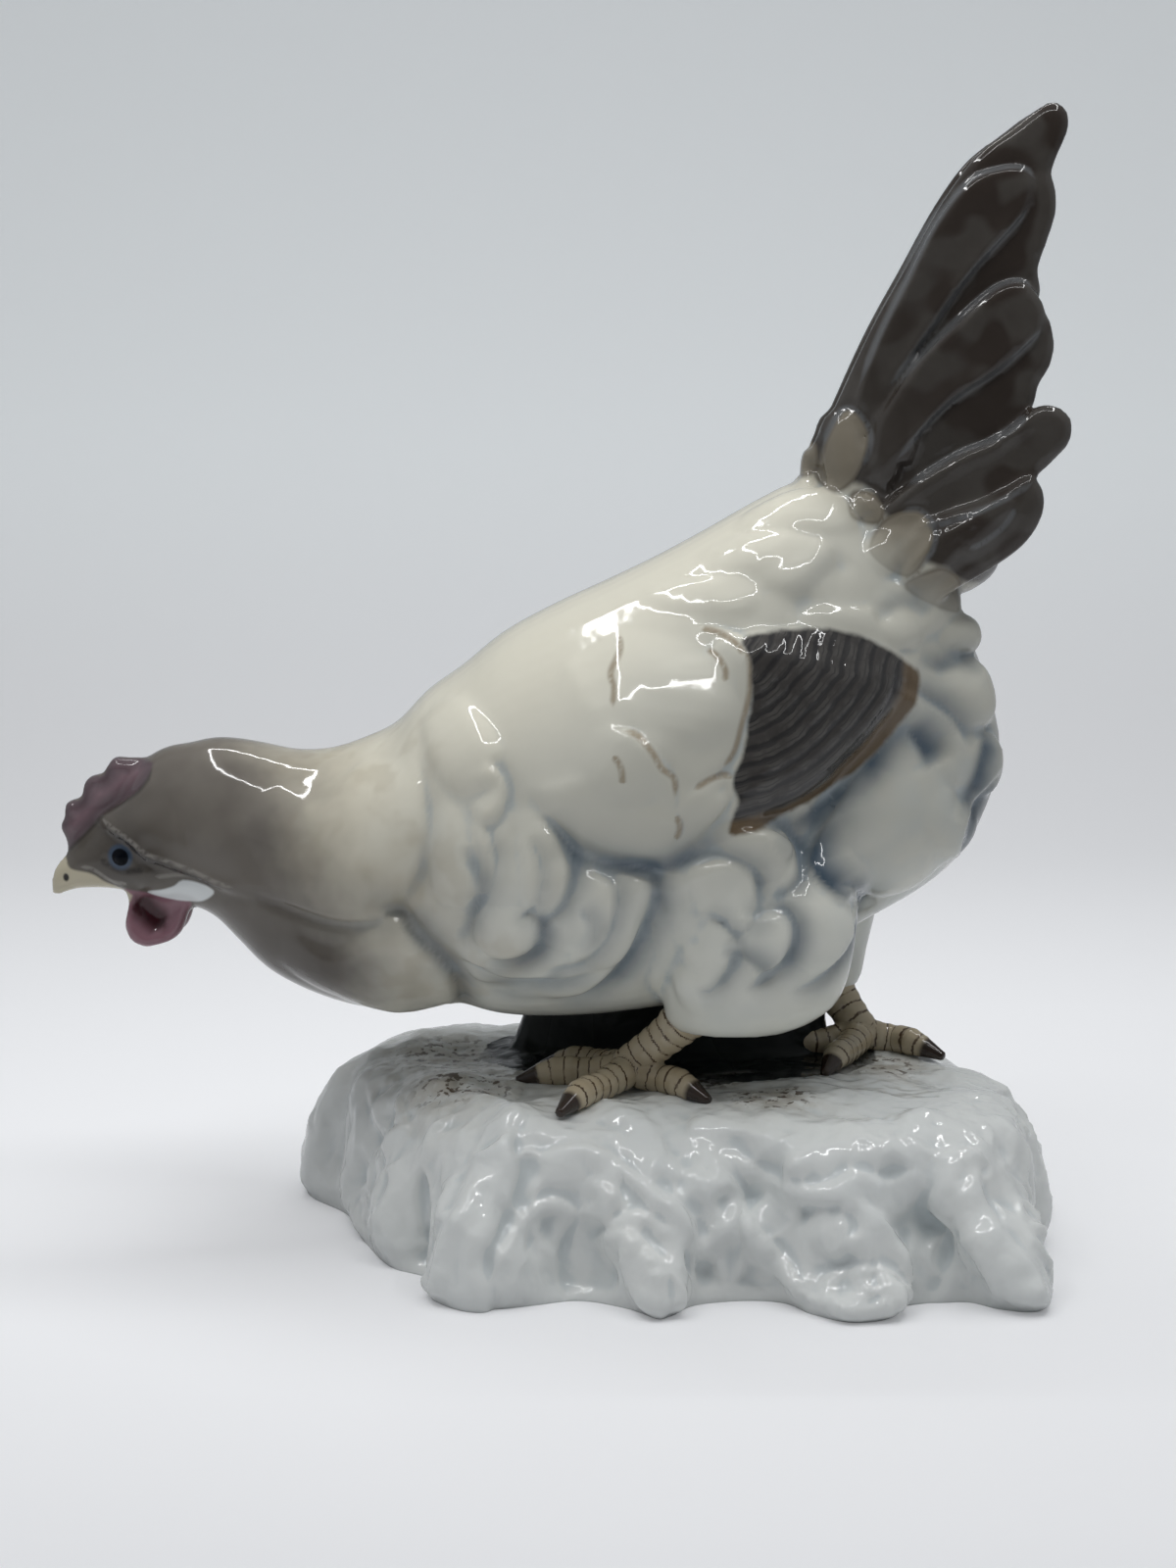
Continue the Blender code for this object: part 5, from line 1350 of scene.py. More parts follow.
def toe_guides(lines):
    """The toes' middle lines as edges that carry their radius."""
    points, edges, rolls = [], [], []
    for path, radii in lines:
        rows = smooth_path([(*place, radius) for place, radius in zip(path, radii)], GUIDE_POINTS)
        rows = rows[:GUIDE_POINTS_BEFORE_CLAW]
        edges += [(len(points) + i, len(points) + i + 1) for i in range(len(rows) - 1)]
        points += [tuple(row[:3]) for row in rows]
        rolls += [row[3] for row in rows]
    mesh = bpy.data.meshes.new("toe_guides")
    mesh.from_pydata(points, edges, [])
    mesh.attributes.new("roll", "FLOAT", "POINT").data.foreach_set("value", rolls)
    made = bpy.data.objects.new("toe_guides", mesh)
    bpy.context.scene.collection.objects.link(made)
    return made


toes = foot_lines()
feet_clay = bmesh.new()
for path, radii in toes:
    add_tube(feet_clay, path, radii)
band = build_band()
scutes = grown(toe_guides(toes), scute_tree(), Band=band, Spacing=SCUTE_SPACING)
feet_clay.from_mesh(scutes)
bpy.data.objects.remove(band)
bmesh.ops.translate(feet_clay, verts=feet_clay.verts, vec=(0.0, 0.0, ROCK_HEIGHT))
feet = melted("scaled_feet", feet_clay, FOOT_STEP, 2)
print(len(scutes.polygons) // (BAND_SIDES * BAND_CORNERS), "scutes")

# %% [markdown]
# ## The rock
#
# The rock is a low block with steep, melted sides. It grows from its outline on the table, ring by ring.
# Ridges, curls and hollows are then pushed out of it or into it along short paths, and a little noise
# keeps the sides from looking turned. A pillar inside holds up the belly, as soft clay can't hold itself.

# %% The rock's outline and relief
ROCK_STEP = 0.72
SUPPORT = [
    (25, 13, 24, 30, 14), (25, 14, 12, 30.5, 12.5),
    (24, 15, 4, 32, 14), (24, 15, -8, 36, 18),
]
FOOTPRINT = [
    (-52.5, 20.3), (-50, 14), (-42.5, 3.4), (-38, -12.6), (-31.5, -29), (-24, -36.2),
    (-22, -47.5), (-15, -54.5), (-4.2, -51.5), (5, -49), (13.7, -53), (20.6, -57.8),
    (26, -51.5), (35, -49), (43, -50), (47.4, -56), (54.5, -59.5), (61.4, -57.4),
    (65, -51.6), (76, -49.2), (82, -53.2), (88.5, -54), (92, -45), (90.5, -28),
    (95.2, -18), (97.8, -3), (98, 10), (94, 28), (86, 42), (74, 49),
    (60, 54), (45, 60), (30, 56), (15, 61.5), (0, 57), (-14, 60),
    (-28, 55), (-38, 49), (-47, 38), (-53, 29),
]
# Rings of the rock: how far in from the footprint, and the height as a share of the rock's
ROCK_PROFILE = [
    (1, -0.12), (0.3, 0), (0, 0.08), (1.6, 0.22), (4.2, 0.42), (7.6, 0.60), (11.5, 0.75),
    (16, 0.87), (22, 0.95), (30, 0.99), (60, 1),
]
# Ridges and hollows of the rock: path in space, reach to each side, and height (a hollow's is negative)
ROCK_RELIEF = [
    ([(-20, -10.5, 29.5), (-15, -22, 29), (-11, -25, 29.5), (-7.5, -32, 27.5)], 3.2, 2.6),
    ([(-14, -16, 30), (-8, -22, 30.5)], 4.5, -1.4),
    ([(-20.5, -13, 26), (-19, -23, 23), (-14.5, -35.5, 20)], 3.8, -2),
    ([(-6, -34, 27.5), (-8.5, -40.5, 23), (-12, -45, 18.5), (-17, -47.5, 12.5),
      (-19.5, -49, 6), (-21.5, -47.5, 0)], 4.4, 3.4),
    ([(-13.5, -37.5, 20), (-21.5, -31, 15), (-25, -31, 10), (-25.5, -36, 4)], 4.8, -3.6),
    ([(-31, -21.5, 12), (-29.5, -30, 5.5)], 4.5, 1.8),
    ([(-24, -21.5, 20.5), (-29.5, -18, 17), (-35.5, -4, 16)], 3.2, 2),
    ([(-36.5, -1.5, 15), (-40, 0.5, 7), (-38, -12.5, 2)], 4.2, 1.8),
    ([(-33, -12, 26), (-38, -8, 14)], 3.6, -1.8),
    ([(-42, 10, 26), (-46, 8, 12)], 4.2, -1.8),
    ([(-42, 20, 30), (-47, 15, 18), (-51, 16, 4)], 5, 2),
    ([(-6, -34, 27.5), (2.5, -40.5, 25), (8, -41, 24.5)], 3.2, 1.5),
    ([(-6, -47.5, 17.5), (1.5, -48, 11), (4, -48, 5)], 7, -2.8),
    ([(10, -44, 20), (14.5, -49, 14), (15.5, -52, 9), (20, -57.5, 1)], 3.2, 2.6),
    ([(22.5, -50, 15), (22, -54, 9.5), (21.5, -57, 1)], 3, 1.8),
    ([(10, -28.5, 31), (16, -37, 28), (19.5, -43, 23), (25.5, -44, 21)], 2.6, 1.7),
    ([(2.5, -41.5, 24.5), (10, -40, 26), (16, -42, 23.5)], 2.4, 1.4),
    ([(16, -45, 20.5), (19.5, -48.5, 17.5), (25.5, -46, 19)], 2.4, 1.6),
    ([(12, -42, 23.5), (14, -45, 20)], 2.4, -1.5),
    ([(20, -38, 26.5), (23, -41, 24)], 2.4, -1.4),
    ([(30.5, -41.5, 22.5), (28, -45, 17.5), (31, -46, 13), (27, -47.5, 10)], 2.8, 2.2),
    ([(28.5, -35, 28.5), (35.5, -38, 27.5), (43.5, -42, 26.5), (45.5, -45.5, 24)], 3, 1.7),
    ([(45.5, -45.5, 24), (54, -45.5, 25), (64, -41.5, 27.5), (68.5, -36, 29)], 3.4, 2),
    ([(50, -36, 30), (60, -34, 30)], 5, -1.2),
    ([(35.5, -44, 17.5), (39, -44, 19.5)], 3.4, -2.8),
    ([(46, -49, 17), (55.5, -50, 18)], 4.4, -3.6),
    ([(27, -49.5, 6), (35, -49, 4), (38, -49, 2)], 5, -2),
    ([(38, -46, 13), (40.5, -48, 10), (44, -52, 6.5), (47.5, -56, 3.5), (54, -59, 2),
      (60.5, -58, 2.5), (64, -54, 5), (62, -52, 9)], 3, 3.2),
    ([(48.5, -54, 8.5), (54, -56, 7), (58.5, -55, 7.5)], 3.6, -3),
    ([(66.5, -47.5, 13.5), (72, -47.5, 13.5)], 3.8, -3.2),
    ([(72, -44, 21), (76, -48, 16.5), (80, -51, 11.5), (84.5, -53.5, 5.5), (89, -54, 1)],
     3.4, 3.4),
    ([(79.5, -42, 22.5), (84, -45, 17)], 3.6, -2.4),
    ([(85.5, -30, 24), (90, -28, 12)], 4.5, 1.6),
    ([(86, -18, 31), (92, -17, 21), (95, -16, 8)], 5.5, 2),
    ([(89, -8, 29), (94, -8, 15)], 3.8, -2.2),
    ([(87, 2, 32), (94, 2, 20), (97.5, 2, 6)], 6.9, 1.9),
    ([(84, 16, 31), (91, 17, 20)], 6.2, -1.4),
    ([(78, 30, 31), (88, 34, 18), (91, 36, 5)], 7.5, 1.9),
    ([(66, 44, 24), (67, 50, 10)], 7.5, -1.6),
    ([(46, 46, 28), (47, 54, 17), (46, 60, 4)], 7.5, 2),
    ([(30, 50, 22), (30, 56, 8)], 7.5, -1.4),
    ([(14, 46, 29), (15, 55, 17), (15, 61, 4)], 7.5, 2),
    ([(-16, 46, 31), (-15, 54, 18), (-14, 60, 4)], 8.1, 1.7),
    ([(-30, 46, 24), (-34, 50, 8)], 6.2, -1.4),
    ([(-38, 34, 34), (-46, 36, 20), (-48, 38, 5)], 8.1, 1.7),
    ([(-38, 14, 33), (-36, 24, 33)], 3.4, 2.6),
    ([(-30, 17, 32), (-28, 25, 32)], 3.2, 1.8),
    ([(-30, 42, 32), (-20, 46, 31)], 7.5, 1.9),
    ([(-26, 20, 32), (-12, 30, 32)], 7.5, 0.7),
    ([(2, 14, 32), (25, 8, 32), (48, 14, 32)], 9, 3),
    ([(74, -6, 32), (80, 10, 32)], 8.8, -0.9),
]
ROCK_CREST = 1.6
ROCK_SIDE_STEEPNESS = 0.6
ROCK_SOFTENING = 1.3
ROCK_GRAIN = 1.5
ROCK_GRAIN_SCALE = 0.05
ROCK_POINTS = 420
FOLD_BEND = 16.0
FOLD_SIZE = 13.0
FOLD_DEPTH = 1.0
FOLD_SEED = 7
CREASE_SHARPNESS = 2.6
CHIP_SIZE = 6.0
CHIP_DEPTH = 0.7
GRAIN_SIZE = 2.0
GRAIN_DEPTH = 0.2
TOP_CALM = 0.72
REAR_CALM = 0.6
REAR_START = -20.0
REAR_LENGTH = 35.0
LEDGE_STROKE = (0.9, 4.4, 0.8, 2.8, 0.0)
print(len(ROCK_RELIEF), "ridges and hollows, and a footprint of", len(FOOTPRINT), "points")


# %% Building the block
def softened(edge, reach):
    """The outline with its bays and points rounded off over a reach."""
    steps = np.arange(len(edge))
    spacing = np.linalg.norm(np.roll(edge, -1, axis=0) - edge, axis=1).mean()
    away = np.minimum(steps, len(edge) - steps) * spacing
    weights = np.exp(-0.5 * (away / max(reach, 0.01)) ** 2)
    weights /= weights.sum()
    return np.stack([np.sum(weights[:, None] * np.roll(edge, -k, axis=0), axis=0) for k in steps])


def rock_ring(edge, inset, height):
    edge = softened(edge, ROCK_SOFTENING * inset)
    middle = edge.mean(axis=0)
    ring = []
    for point in edge:
        inward = middle - point
        reach = np.linalg.norm(inward)
        steep = 1.0 - ROCK_SIDE_STEEPNESS * abs(inward[0]) / reach
        x, y = point + inward * min(inset * steep / reach, 0.97)
        ring.append((x, y, height))
    return ring


def build_block():
    edge = smooth_outline(FOOTPRINT, ROCK_POINTS)
    rings = []
    for inset, share in smooth_path(ROCK_PROFILE, 8 * len(ROCK_PROFILE)):
        rings.append(rock_ring(edge, max(inset, 0.0), share * ROCK_HEIGHT))
    block = bmesh.new()
    add_rings(block, rings)
    block.normal_update()
    return block


def push_relief(block):
    places = np.array([vert.co for vert in block.verts])
    outwards = np.array([vert.normal for vert in block.verts])
    push = np.zeros(len(places))
    for path, reach, height in ROCK_RELIEF:
        away = np.full(len(places), FAR)
        for point in smooth_path(path, 24):
            away = np.minimum(away, np.linalg.norm(places - point, axis=1))
        push += height * np.exp(-((away / reach) ** ROCK_CREST))
    for i, place in enumerate(places):
        spot = Vector((place[0], place[1], 0.6 * place[2]))
        push[i] += ROCK_GRAIN * noise.fractal(spot * ROCK_GRAIN_SCALE, 0.9, 2.2, 4)
    above = rise_from(places[:, 2], 0.0, 3.0)
    for vert, place in zip(block.verts, places + outwards * (push * above)[:, None]):
        vert.co = place


def cut_flat(piece):
    """Cuts the piece off at the table and closes it with one flat face."""
    clay = bmesh.new()
    clay.from_mesh(piece.data)
    whole = list(clay.verts) + list(clay.edges) + list(clay.faces)
    table = {"plane_co": (0.0, 0.0, 0.0), "plane_no": (0.0, 0.0, 1.0)}
    cut = bmesh.ops.bisect_plane(clay, geom=whole, clear_inner=True, **table)
    edges = [item for item in cut["geom_cut"] if isinstance(item, bmesh.types.BMEdge)]
    bmesh.ops.edgeloop_fill(clay, edges=edges)
    bmesh.ops.triangulate(clay, faces=[face for face in clay.faces if len(face.verts) > 4])
    clay.to_mesh(piece.data)
    clay.free()


block = build_block()
push_relief(block)
print("the block has", len(block.faces), "faces")

# %% Ledges, folds and chips
# Ledges in the rock seen from the side; the raised side is on the right of each path
ROCK_LEDGES = [
    [(-4.1, 2.6), (-7.3, -3), (-6.3, -9.1), (-9, -16), (-12.5, -22.2), (-11.3, -29.9), (-11.6, -35.3)],
    [(-23, -32.4), (-22.7, -26.2), (-20.7, -19.3), (-17.7, -13.2), (-14, -6.4)],
    [(-20.5, 5.8), (-19.9, -0.3), (-22.4, -6.5), (-25.1, -12.6), (-25.5, -20.4), (-23.5, -28.2)],
    [(-38, -27.4), (-35.2, -22.6), (-31.7, -15.5), (-35.9, -9.2), (-38.4, -2.9)],
    [(-30, 7.3), (-32.3, -0.5), (-27.8, -6.8), (-30.2, -13.1)],
    [(-3.5, -6.2), (3.9, -3.6), (9.8, -4.7), (15.8, -8.7), (22.9, -12.3), (27.7, -18.2)],
    [(6.9, -22.1), (12.2, -17.5), (18.1, -19.7), (20.7, -25.8), (20.5, -34.4)],
    [(-6.7, -16.3), (-0.1, -13.2), (3.9, -16.3), (1, -23.9), (2.1, -31.6)],
    [(29.8, -6.6), (34.8, -12), (37.5, -17.8), (43.7, -24.2), (45.3, -31.9)],
    [(31.9, -4.2), (39.7, -8.9), (48.1, -9.6), (55.2, -6.8), (61.8, -8.8), (67.7, -6.8)],
    [(52.5, -19.1), (55.7, -16), (53.3, -12.7), (47.7, -13), (45.1, -17.2)],
    [(47.6, -26.7), (52.3, -23.9), (59.4, -22.7), (64.1, -26.2), (63.5, -31.6)],
    [(69.5, -32.4), (73.2, -25.6), (73.7, -19.4), (69.1, -14.5), (71.1, -7.8)],
    [(78.2, -7.7), (79.8, -13), (83.6, -18.5), (88.3, -23.8), (91.9, -32.1)],
    [(86.5, 6.3), (84.3, -0.1), (89.9, -6.5), (91.6, -14.5), (92.7, -25.8)],
    [(6, -9), (12, -11.5), (11, -15.5), (16.5, -14), (22, -17.5)],
    [(50, -27.5), (56.5, -29), (60.5, -27)],
]


def crumple(piece):
    """Breaks the rock's skin into folds and chips; its top stays nearly flat, with a fine grain."""
    noise.seed_set(FOLD_SEED)
    places, normals = points_of(piece)
    push, grain = np.empty(len(places)), np.empty(len(places))
    for i, place in enumerate(places):
        spot = Vector((place[0], place[1], 0.7 * place[2]))
        spot += noise.noise_vector(spot / FOLD_BEND) * 3.0
        folds = 1.0 - CREASE_SHARPNESS * abs(noise.noise(spot / FOLD_SIZE))
        chips = 1.0 - CREASE_SHARPNESS * abs(noise.noise(spot / CHIP_SIZE))
        push[i] = FOLD_DEPTH * folds + CHIP_DEPTH * chips
        grain[i] = GRAIN_DEPTH * noise.noise(spot / GRAIN_SIZE)
    heights = places[:, 2]
    top = rise_from(normals[:, 2], 0.6, 0.3) * rise_from(heights, -5.0, 3.0)
    above_table = rise_from(heights, -ROCK_HEIGHT, 5.0)
    below_belly = 1.0 - rise_from(heights, 0.5, 2.0)
    rear_calm = 1.0 - REAR_CALM * rise_from(places[:, 1], REAR_START, REAR_LENGTH)
    push = (push * rear_calm * (1.0 - TOP_CALM * top) + grain * top) * above_table * below_belly
    move_points(piece, places + normals * push[:, None])


pillar = bmesh.new()
add_limb(pillar, SUPPORT)
bmesh.ops.translate(pillar, verts=pillar.verts, vec=(0.0, 0.0, ROCK_HEIGHT))
pillar_mesh = bpy.data.meshes.new("pillar")
pillar.to_mesh(pillar_mesh)
pillar.free()
block.from_mesh(pillar_mesh)
bpy.data.meshes.remove(pillar_mesh)
rock = melted("rock_base", block, ROCK_STEP, 1)
crumple(rock)
draw_strokes(rock, [(ledge, *LEDGE_STROKE) for ledge in ROCK_LEDGES], front_only=True)
cut_flat(rock)
print("rock stands at", round(min(vert.co.z for vert in rock.data.vertices), 4), "m")

# %% [markdown]
# ## Marking out the paint
#
# The painter worked with soft edges: brown on the head, black on the wing and tail, and a thin blue that
# gathers in every hollow. Each is worked out per point of the mesh, as a distance in millimetres to an
# outline, and the glaze turns the distances into colours. A distance has no steps in it, so an edge can
# be drawn finer than the mesh.


# %% Layers of numbers on a piece
FINE_PASSES = 6
WIDE_PASSES = 60
FOOT_PASSES = 8
ROCK_FINE_PASSES = 8
ROCK_WIDE_PASSES = 120


def keep(piece, label, values):
    """Writes one number per point on the piece, for the glaze to read."""
    layer = piece.data.attributes.new(label, "FLOAT", "POINT")
    layer.data.foreach_set("value", np.asarray(values, np.float32))


def near_lines(spots, paths):
    """How far each spot is from the nearest of some lines; more towards the lines' ends."""
    nearest_line = np.full(len(spots), OUTSIDE)
    for path in paths:
        rows = np.array(path)
        low, high = rows.min(axis=0) - 5.0, rows.max(axis=0) + 5.0
        near = np.where(np.all((spots > low) & (spots < high), axis=1))[0]
        away, _, share = beside_path(spots[near], path)
        nearest_line[near] = np.minimum(nearest_line[near], away + 2.0 * (1.0 - taper(share)))
    return nearest_line


def hollows(piece, passes):
    """How far each point lies below the smoothed skin around it, in millimetres."""
    mesh = piece.data
    places, normals = points_of(piece)
    edges = np.empty(len(mesh.edges) * 2, np.int32)
    mesh.edges.foreach_get("vertices", edges)
    one, two = edges.reshape(-1, 2).T
    count = np.bincount(one, minlength=len(places)) + np.bincount(two, minlength=len(places))
    calm = places.copy()
    for _ in range(passes):
        total = np.zeros_like(calm)
        for axis in range(3):
            total[:, axis] += np.bincount(one, calm[two, axis], len(calm))
            total[:, axis] += np.bincount(two, calm[one, axis], len(calm))
        calm = 0.4 * calm + 0.6 * total / count[:, None]
    return ((calm - places) * normals).sum(axis=1)


keep(hen, "fine_hollow", hollows(hen, FINE_PASSES))
keep(hen, "wide_hollow", hollows(hen, WIDE_PASSES))
print("the hen's hollows are measured")

# %% Lines and outlines of the hen's paint
COMB_ROOT = [
    (-97.5, 43), (-96.4, 44.4), (-93.6, 47.1), (-91, 49.7), (-88.7, 52.2), (-84.5, 54.8), (-80.9, 57.5),
    (-78.9, 60.4), (-78, 64),
]
BROW_LINE = [
    (-90.5, 50.2), (-86.9, 48.6), (-83.5, 46.9), (-81.6, 45.3), (-79.7, 43.9), (-76.6, 43.1), (-72.8, 41.7),
    (-69, 40.3), (-65.9, 39), (-60.3, 37.8),
]
# Sharp ridges of the head, along which a thin pale line is painted as a highlight
HIGHLIGHT_RIDGES = [
    [(-92, 49.2), (-89.9, 51.3), (-86.6, 49.8), (-83, 48), (-80.8, 46.3), (-78.9, 45), (-76.2, 44.3),
     (-72.4, 43), (-68.8, 41.6), (-65.5, 40.2), (-60.3, 38.9), (-54, 37.6)],
    [(-95.3, 41.2), (-91.2, 41.2), (-88.2, 39.2), (-85.9, 38.4), (-82, 38.6)],
    [(-79.4, 40.2), (-76, 40.6), (-72.8, 40.9), (-69, 40.2), (-66, 38.6)],
    [(-95.6, 45.9), (-92.9, 48.4), (-90.3, 50.9), (-88, 53.2), (-84, 55.8)],
]
WING_LINES = [
    [(11.7, 72.9), (15.3, 72.3), (18.2, 69.3), (20, 66.3), (22.4, 63.9), (22.1, 57.9)],
    [(10.8, 69), (12.6, 66.3), (12.9, 62.7)],
    [(22.1, 57.9), (23.3, 56.1), (23.1, 53.7), (21.9, 52.8)],
    [(24.8, 61.5), (28.9, 63.9), (31.9, 64.5), (33.1, 63.3)],
    [(11.7, 90.5), (12.6, 87), (10.8, 82.8), (11.4, 79.8), (10.6, 75)],
    [(26.5, 90.5), (30, 90.2), (33.6, 88.4), (36, 85.2)],
    [(27.7, 87), (30, 86.2), (31.8, 83.5), (31.5, 80.5)],
    [(35.3, 89.2), (36.2, 85.4), (36.2, 79.4), (34.8, 73.5), (33.1, 68.1), (29.5, 64.5)],
]
TAIL_COVERTS = [
    [(50.4, 118), (51.2, 121.8), (52.5, 126.1), (55.4, 130.4), (58.1, 129.7), (60, 126.1), (59.2, 121.5),
     (56.9, 117.2), (53.6, 115.2)],
    [(46.5, 118), (47.7, 121.8), (49.4, 124.4), (50.5, 123.8), (50.6, 119)],
    [(56.5, 110.6), (56.8, 114.9), (60.1, 115.1), (62.6, 112.3), (61.5, 109.3)],
    [(59.9, 103.8), (61.5, 108.5), (64.5, 111.1), (69.1, 111.7), (71.5, 108.4), (70.6, 103.8), (66.7, 99.5)],
    [(66.5, 97.3), (71.7, 100.9), (75, 100.6), (77.1, 98), (77.2, 92.3)],
]
JAW_X = -86.0
JAW_HEIGHT = 37.6
JAW_SLOPE = 0.13
TAIL_LOWEST = 85.0
HOOD_EDGE = [
    (-57, 76), (-52, 66), (-46, 57), (-43, 47), (-36, 37), (-31, 24), (-38, 8),
]
TAIL_BASE = [
    (40, 124), (46.6, 121.8), (50.2, 120.1), (57, 117.2), (60.5, 115.2), (63.1, 110.5), (66.5, 110.5),
    (71, 108.5), (70.5, 103), (74.6, 101.5), (78, 98.8), (90, 94),
]
BEAK = [
    (-96.8, 42.9), (-96.2, 41.4), (-95, 40.7), (-91.1, 40.1), (-88.2, 38.2), (-86.1, 37.4), (-83, 36),
    (-86, 33), (-94, 33), (-104, 34), (-103, 41), (-99, 44),
]
EARLOBE = [
    (-79.9, 36.9), (-76, 35.6), (-72.2, 35.1), (-68.8, 35.5), (-66.2, 37.5), (-67, 38.7), (-68.9, 39.4),
    (-71.4, 39.9), (-72.9, 39.7), (-74.2, 38.6), (-76.6, 37.7),
]
print(len(WING_LINES), "lines on the wing and", len(TAIL_COVERTS), "small feathers before the tail")

# %% Layers on the hen
places, _ = points_of(hen)
side_view = places[:, [0, 2]]
_, hood, _ = beside_path(side_view, HOOD_EDGE, 24)
keep(hen, "hood", -hood)
_, tail_side, _ = beside_path(side_view, TAIL_BASE, 40)
keep(hen, "tail", np.where(places[:, 2] > TAIL_LOWEST, tail_side, -OUTSIDE))
_, above_root, _ = beside_path(side_view, COMB_ROOT, 24)
keep(hen, "comb", np.minimum(inside_by(side_view, COMB), above_root))
below_jaw = JAW_HEIGHT - JAW_SLOPE * (places[:, 0] - JAW_X) - places[:, 2]
keep(hen, "wattle", np.minimum(inside_by(side_view, WATTLE), below_jaw))
keep(hen, "brow_line", near_lines(side_view, [BROW_LINE, COMB_ROOT, LOWER_LID]))
keep(hen, "ridge_highlight", near_lines(side_view, HIGHLIGHT_RIDGES))
keep(hen, "covert", np.max([inside_by(side_view, outline) for outline in TAIL_COVERTS], axis=0))
keep(hen, "wing_line", near_lines(side_view, WING_LINES))
keep(hen, "beak", inside_by(side_view, BEAK))
keep(hen, "earlobe", inside_by(side_view, EARLOBE))
keep(hen, "wing_patch", inside_by(side_view, WING_PATCH))
_, rear_side, _ = beside_path(side_view, WING_REAR_EDGE, 40)
keep(hen, "wing_across", rear_side)
keep(hen, "wattle_hollow", near_lines(side_view, [WATTLE_HOLLOW]))
keep(hen, "tail_line", near_lines(side_view, TAIL_STROKES))
print(len(hen.data.attributes), "layers on the hen")

# %% Where the blue gathers
BLUE_START = 0.8
BLUE_SPREAD = 1.2
BLUE_BRIM = 1.25
BLUE_MARGIN = 14.0
blue = np.zeros(len(places))
for path, _, _, _, cut_reach, amount in FEATHER_STROKES + crease_rows:
    near = nearby(places, path, BLUE_MARGIN)
    _, signed, share = beside_path(side_view[near], path)
    beyond = signed - BLUE_START
    spread = np.where(signed > BLUE_START, beyond / (cut_reach + BLUE_SPREAD), beyond / BLUE_BRIM)
    blue[near] = np.maximum(blue[near], amount * np.exp(-(spread**2)) * taper(share, 0.3))
keep(hen, "blue", blue)
print("blue covers", round(100.0 * float(np.mean(blue > 0.1))), "percent of the hen's points")

# %% [markdown]
# The toes carry how far along they are, for the dark claws and the thin lines between scales. The rock
# carries its hollows, the places where the painter dabbed a little brown, and the pillar, which gets a
# painted shade.

# %% Layers on the feet
places, _ = points_of(feet)
claw = np.full(len(places), -30.0)
nearest_toe = np.full(len(places), FAR)
along_toe = np.zeros(len(places))
for path, _ in toes:
    line = smooth_path(path, 48)
    lengths = np.append(0.0, np.cumsum(np.linalg.norm(np.diff(line, axis=0), axis=1)))
    away = np.linalg.norm(places[:, None, :] - line[None, :, :], axis=2)
    closest = away.argmin(axis=1)
    step = away[np.arange(len(places)), closest]
    along_toe = np.where(step < nearest_toe, lengths[closest], along_toe)
    nearest_toe = np.minimum(nearest_toe, step)
    if path[0][2] < 0.5 * ROCK_HEIGHT:
        claw = np.maximum(claw, CLAW_LENGTH - np.linalg.norm(places - np.array(path[-1]), axis=1))
keep(feet, "claw", claw)
keep(feet, "toe_along", along_toe)
keep(feet, "fine_hollow", hollows(feet, FOOT_PASSES))
print(int(np.sum(claw > 0.0)), "points of the feet are claw")

# %% Layers on the rock
# Dusty places on the rock's top: x, y and reach
SPECKLED = [
    (42, -25, 9), (-17, -14, 12), (-20, 8, 15), (2, 2, 13), (66, 2, 9),
    (30, -4, 13),
]
DUST_LOWEST = -8.0
PILLAR_MIDDLE = (25.0, 10.0)
PILLAR_REACH = (34.0, 20.0)
PILLAR_LIMIT = 1.2

places, _ = points_of(rock)
keep(rock, "fine_hollow", hollows(rock, ROCK_FINE_PASSES))
keep(rock, "wide_hollow", hollows(rock, ROCK_WIDE_PASSES))
near_feet = np.zeros(len(places))
for x, y, reach in SPECKLED:
    away = np.hypot(places[:, 0] - x, places[:, 1] - y) / reach
    near_feet = np.maximum(near_feet, np.exp(-(away**2)) * (places[:, 2] > DUST_LOWEST))
keep(rock, "near_feet", near_feet)
along_x, along_y = ((places[:, :2] - PILLAR_MIDDLE) / PILLAR_REACH).T
keep(rock, "pillar", rise_from(places[:, 2], -1.5, 3.0) * (np.hypot(along_x, along_y) < PILLAR_LIMIT))
print(int(np.sum(near_feet > 0.5)), "points of the rock are dusty")

# %% [markdown]
# ## The glazes
#
# All three are the same thing: a colour under clear glass. The colour is built up in washes, from the
# white body to the darkest lines, as a painter does it. A few washes are painted light: shade on the
# flanks and the pillar, a highlight along the head's ridges, and a sheen in the hood's pale patches.


# %% A glaze and its washes
def glaze(name):
    """A new glazed material; gives it with its tree and its shader."""
    material = bpy.data.materials.new(name)
    material.use_nodes = True
    tree = material.node_tree
    shader = tree.nodes["Principled BSDF"]
    shader.inputs["Roughness"].default_value = 0.07
    shader.inputs["IOR"].default_value = 1.5
    shader.inputs["Subsurface Weight"].default_value = 0.0
    shader.inputs["Specular IOR Level"].default_value = 0.5
    return material, tree, shader


def ripple(tree, shader, place, size, depth):
    """Makes the glass over the colour slightly uneven, so the lamps' mirror images wander."""
    node = tree.nodes.new("ShaderNodeBump")
    node.inputs["Distance"].default_value = depth * MM
    plug(tree, node.inputs["Height"], patches(tree, place, size, 2.0, 6.0))
    tree.links.new(node.outputs["Normal"], shader.inputs["Normal"])


def layer(tree, label):
    node = tree.nodes.new("ShaderNodeAttribute")
    node.attribute_name = label
    return Wire(tree, node.outputs["Fac"])


def wash(tree, share, under, over):
    """The colour over laid on the colour under, as thick as the share says."""
    node = tree.nodes.new("ShaderNodeMix")
    node.data_type = "RGBA"
    plug(tree, node.inputs["Factor"], share)
    plug(tree, node.inputs["A"], under)
    plug(tree, node.inputs["B"], over)
    return Wire(tree, node.outputs["Result"])


def place_in_mm(tree):
    node = tree.nodes.new("ShaderNodeTexCoord")
    return Wire(tree, node.outputs["Object"]).scaled(1.0 / MM)


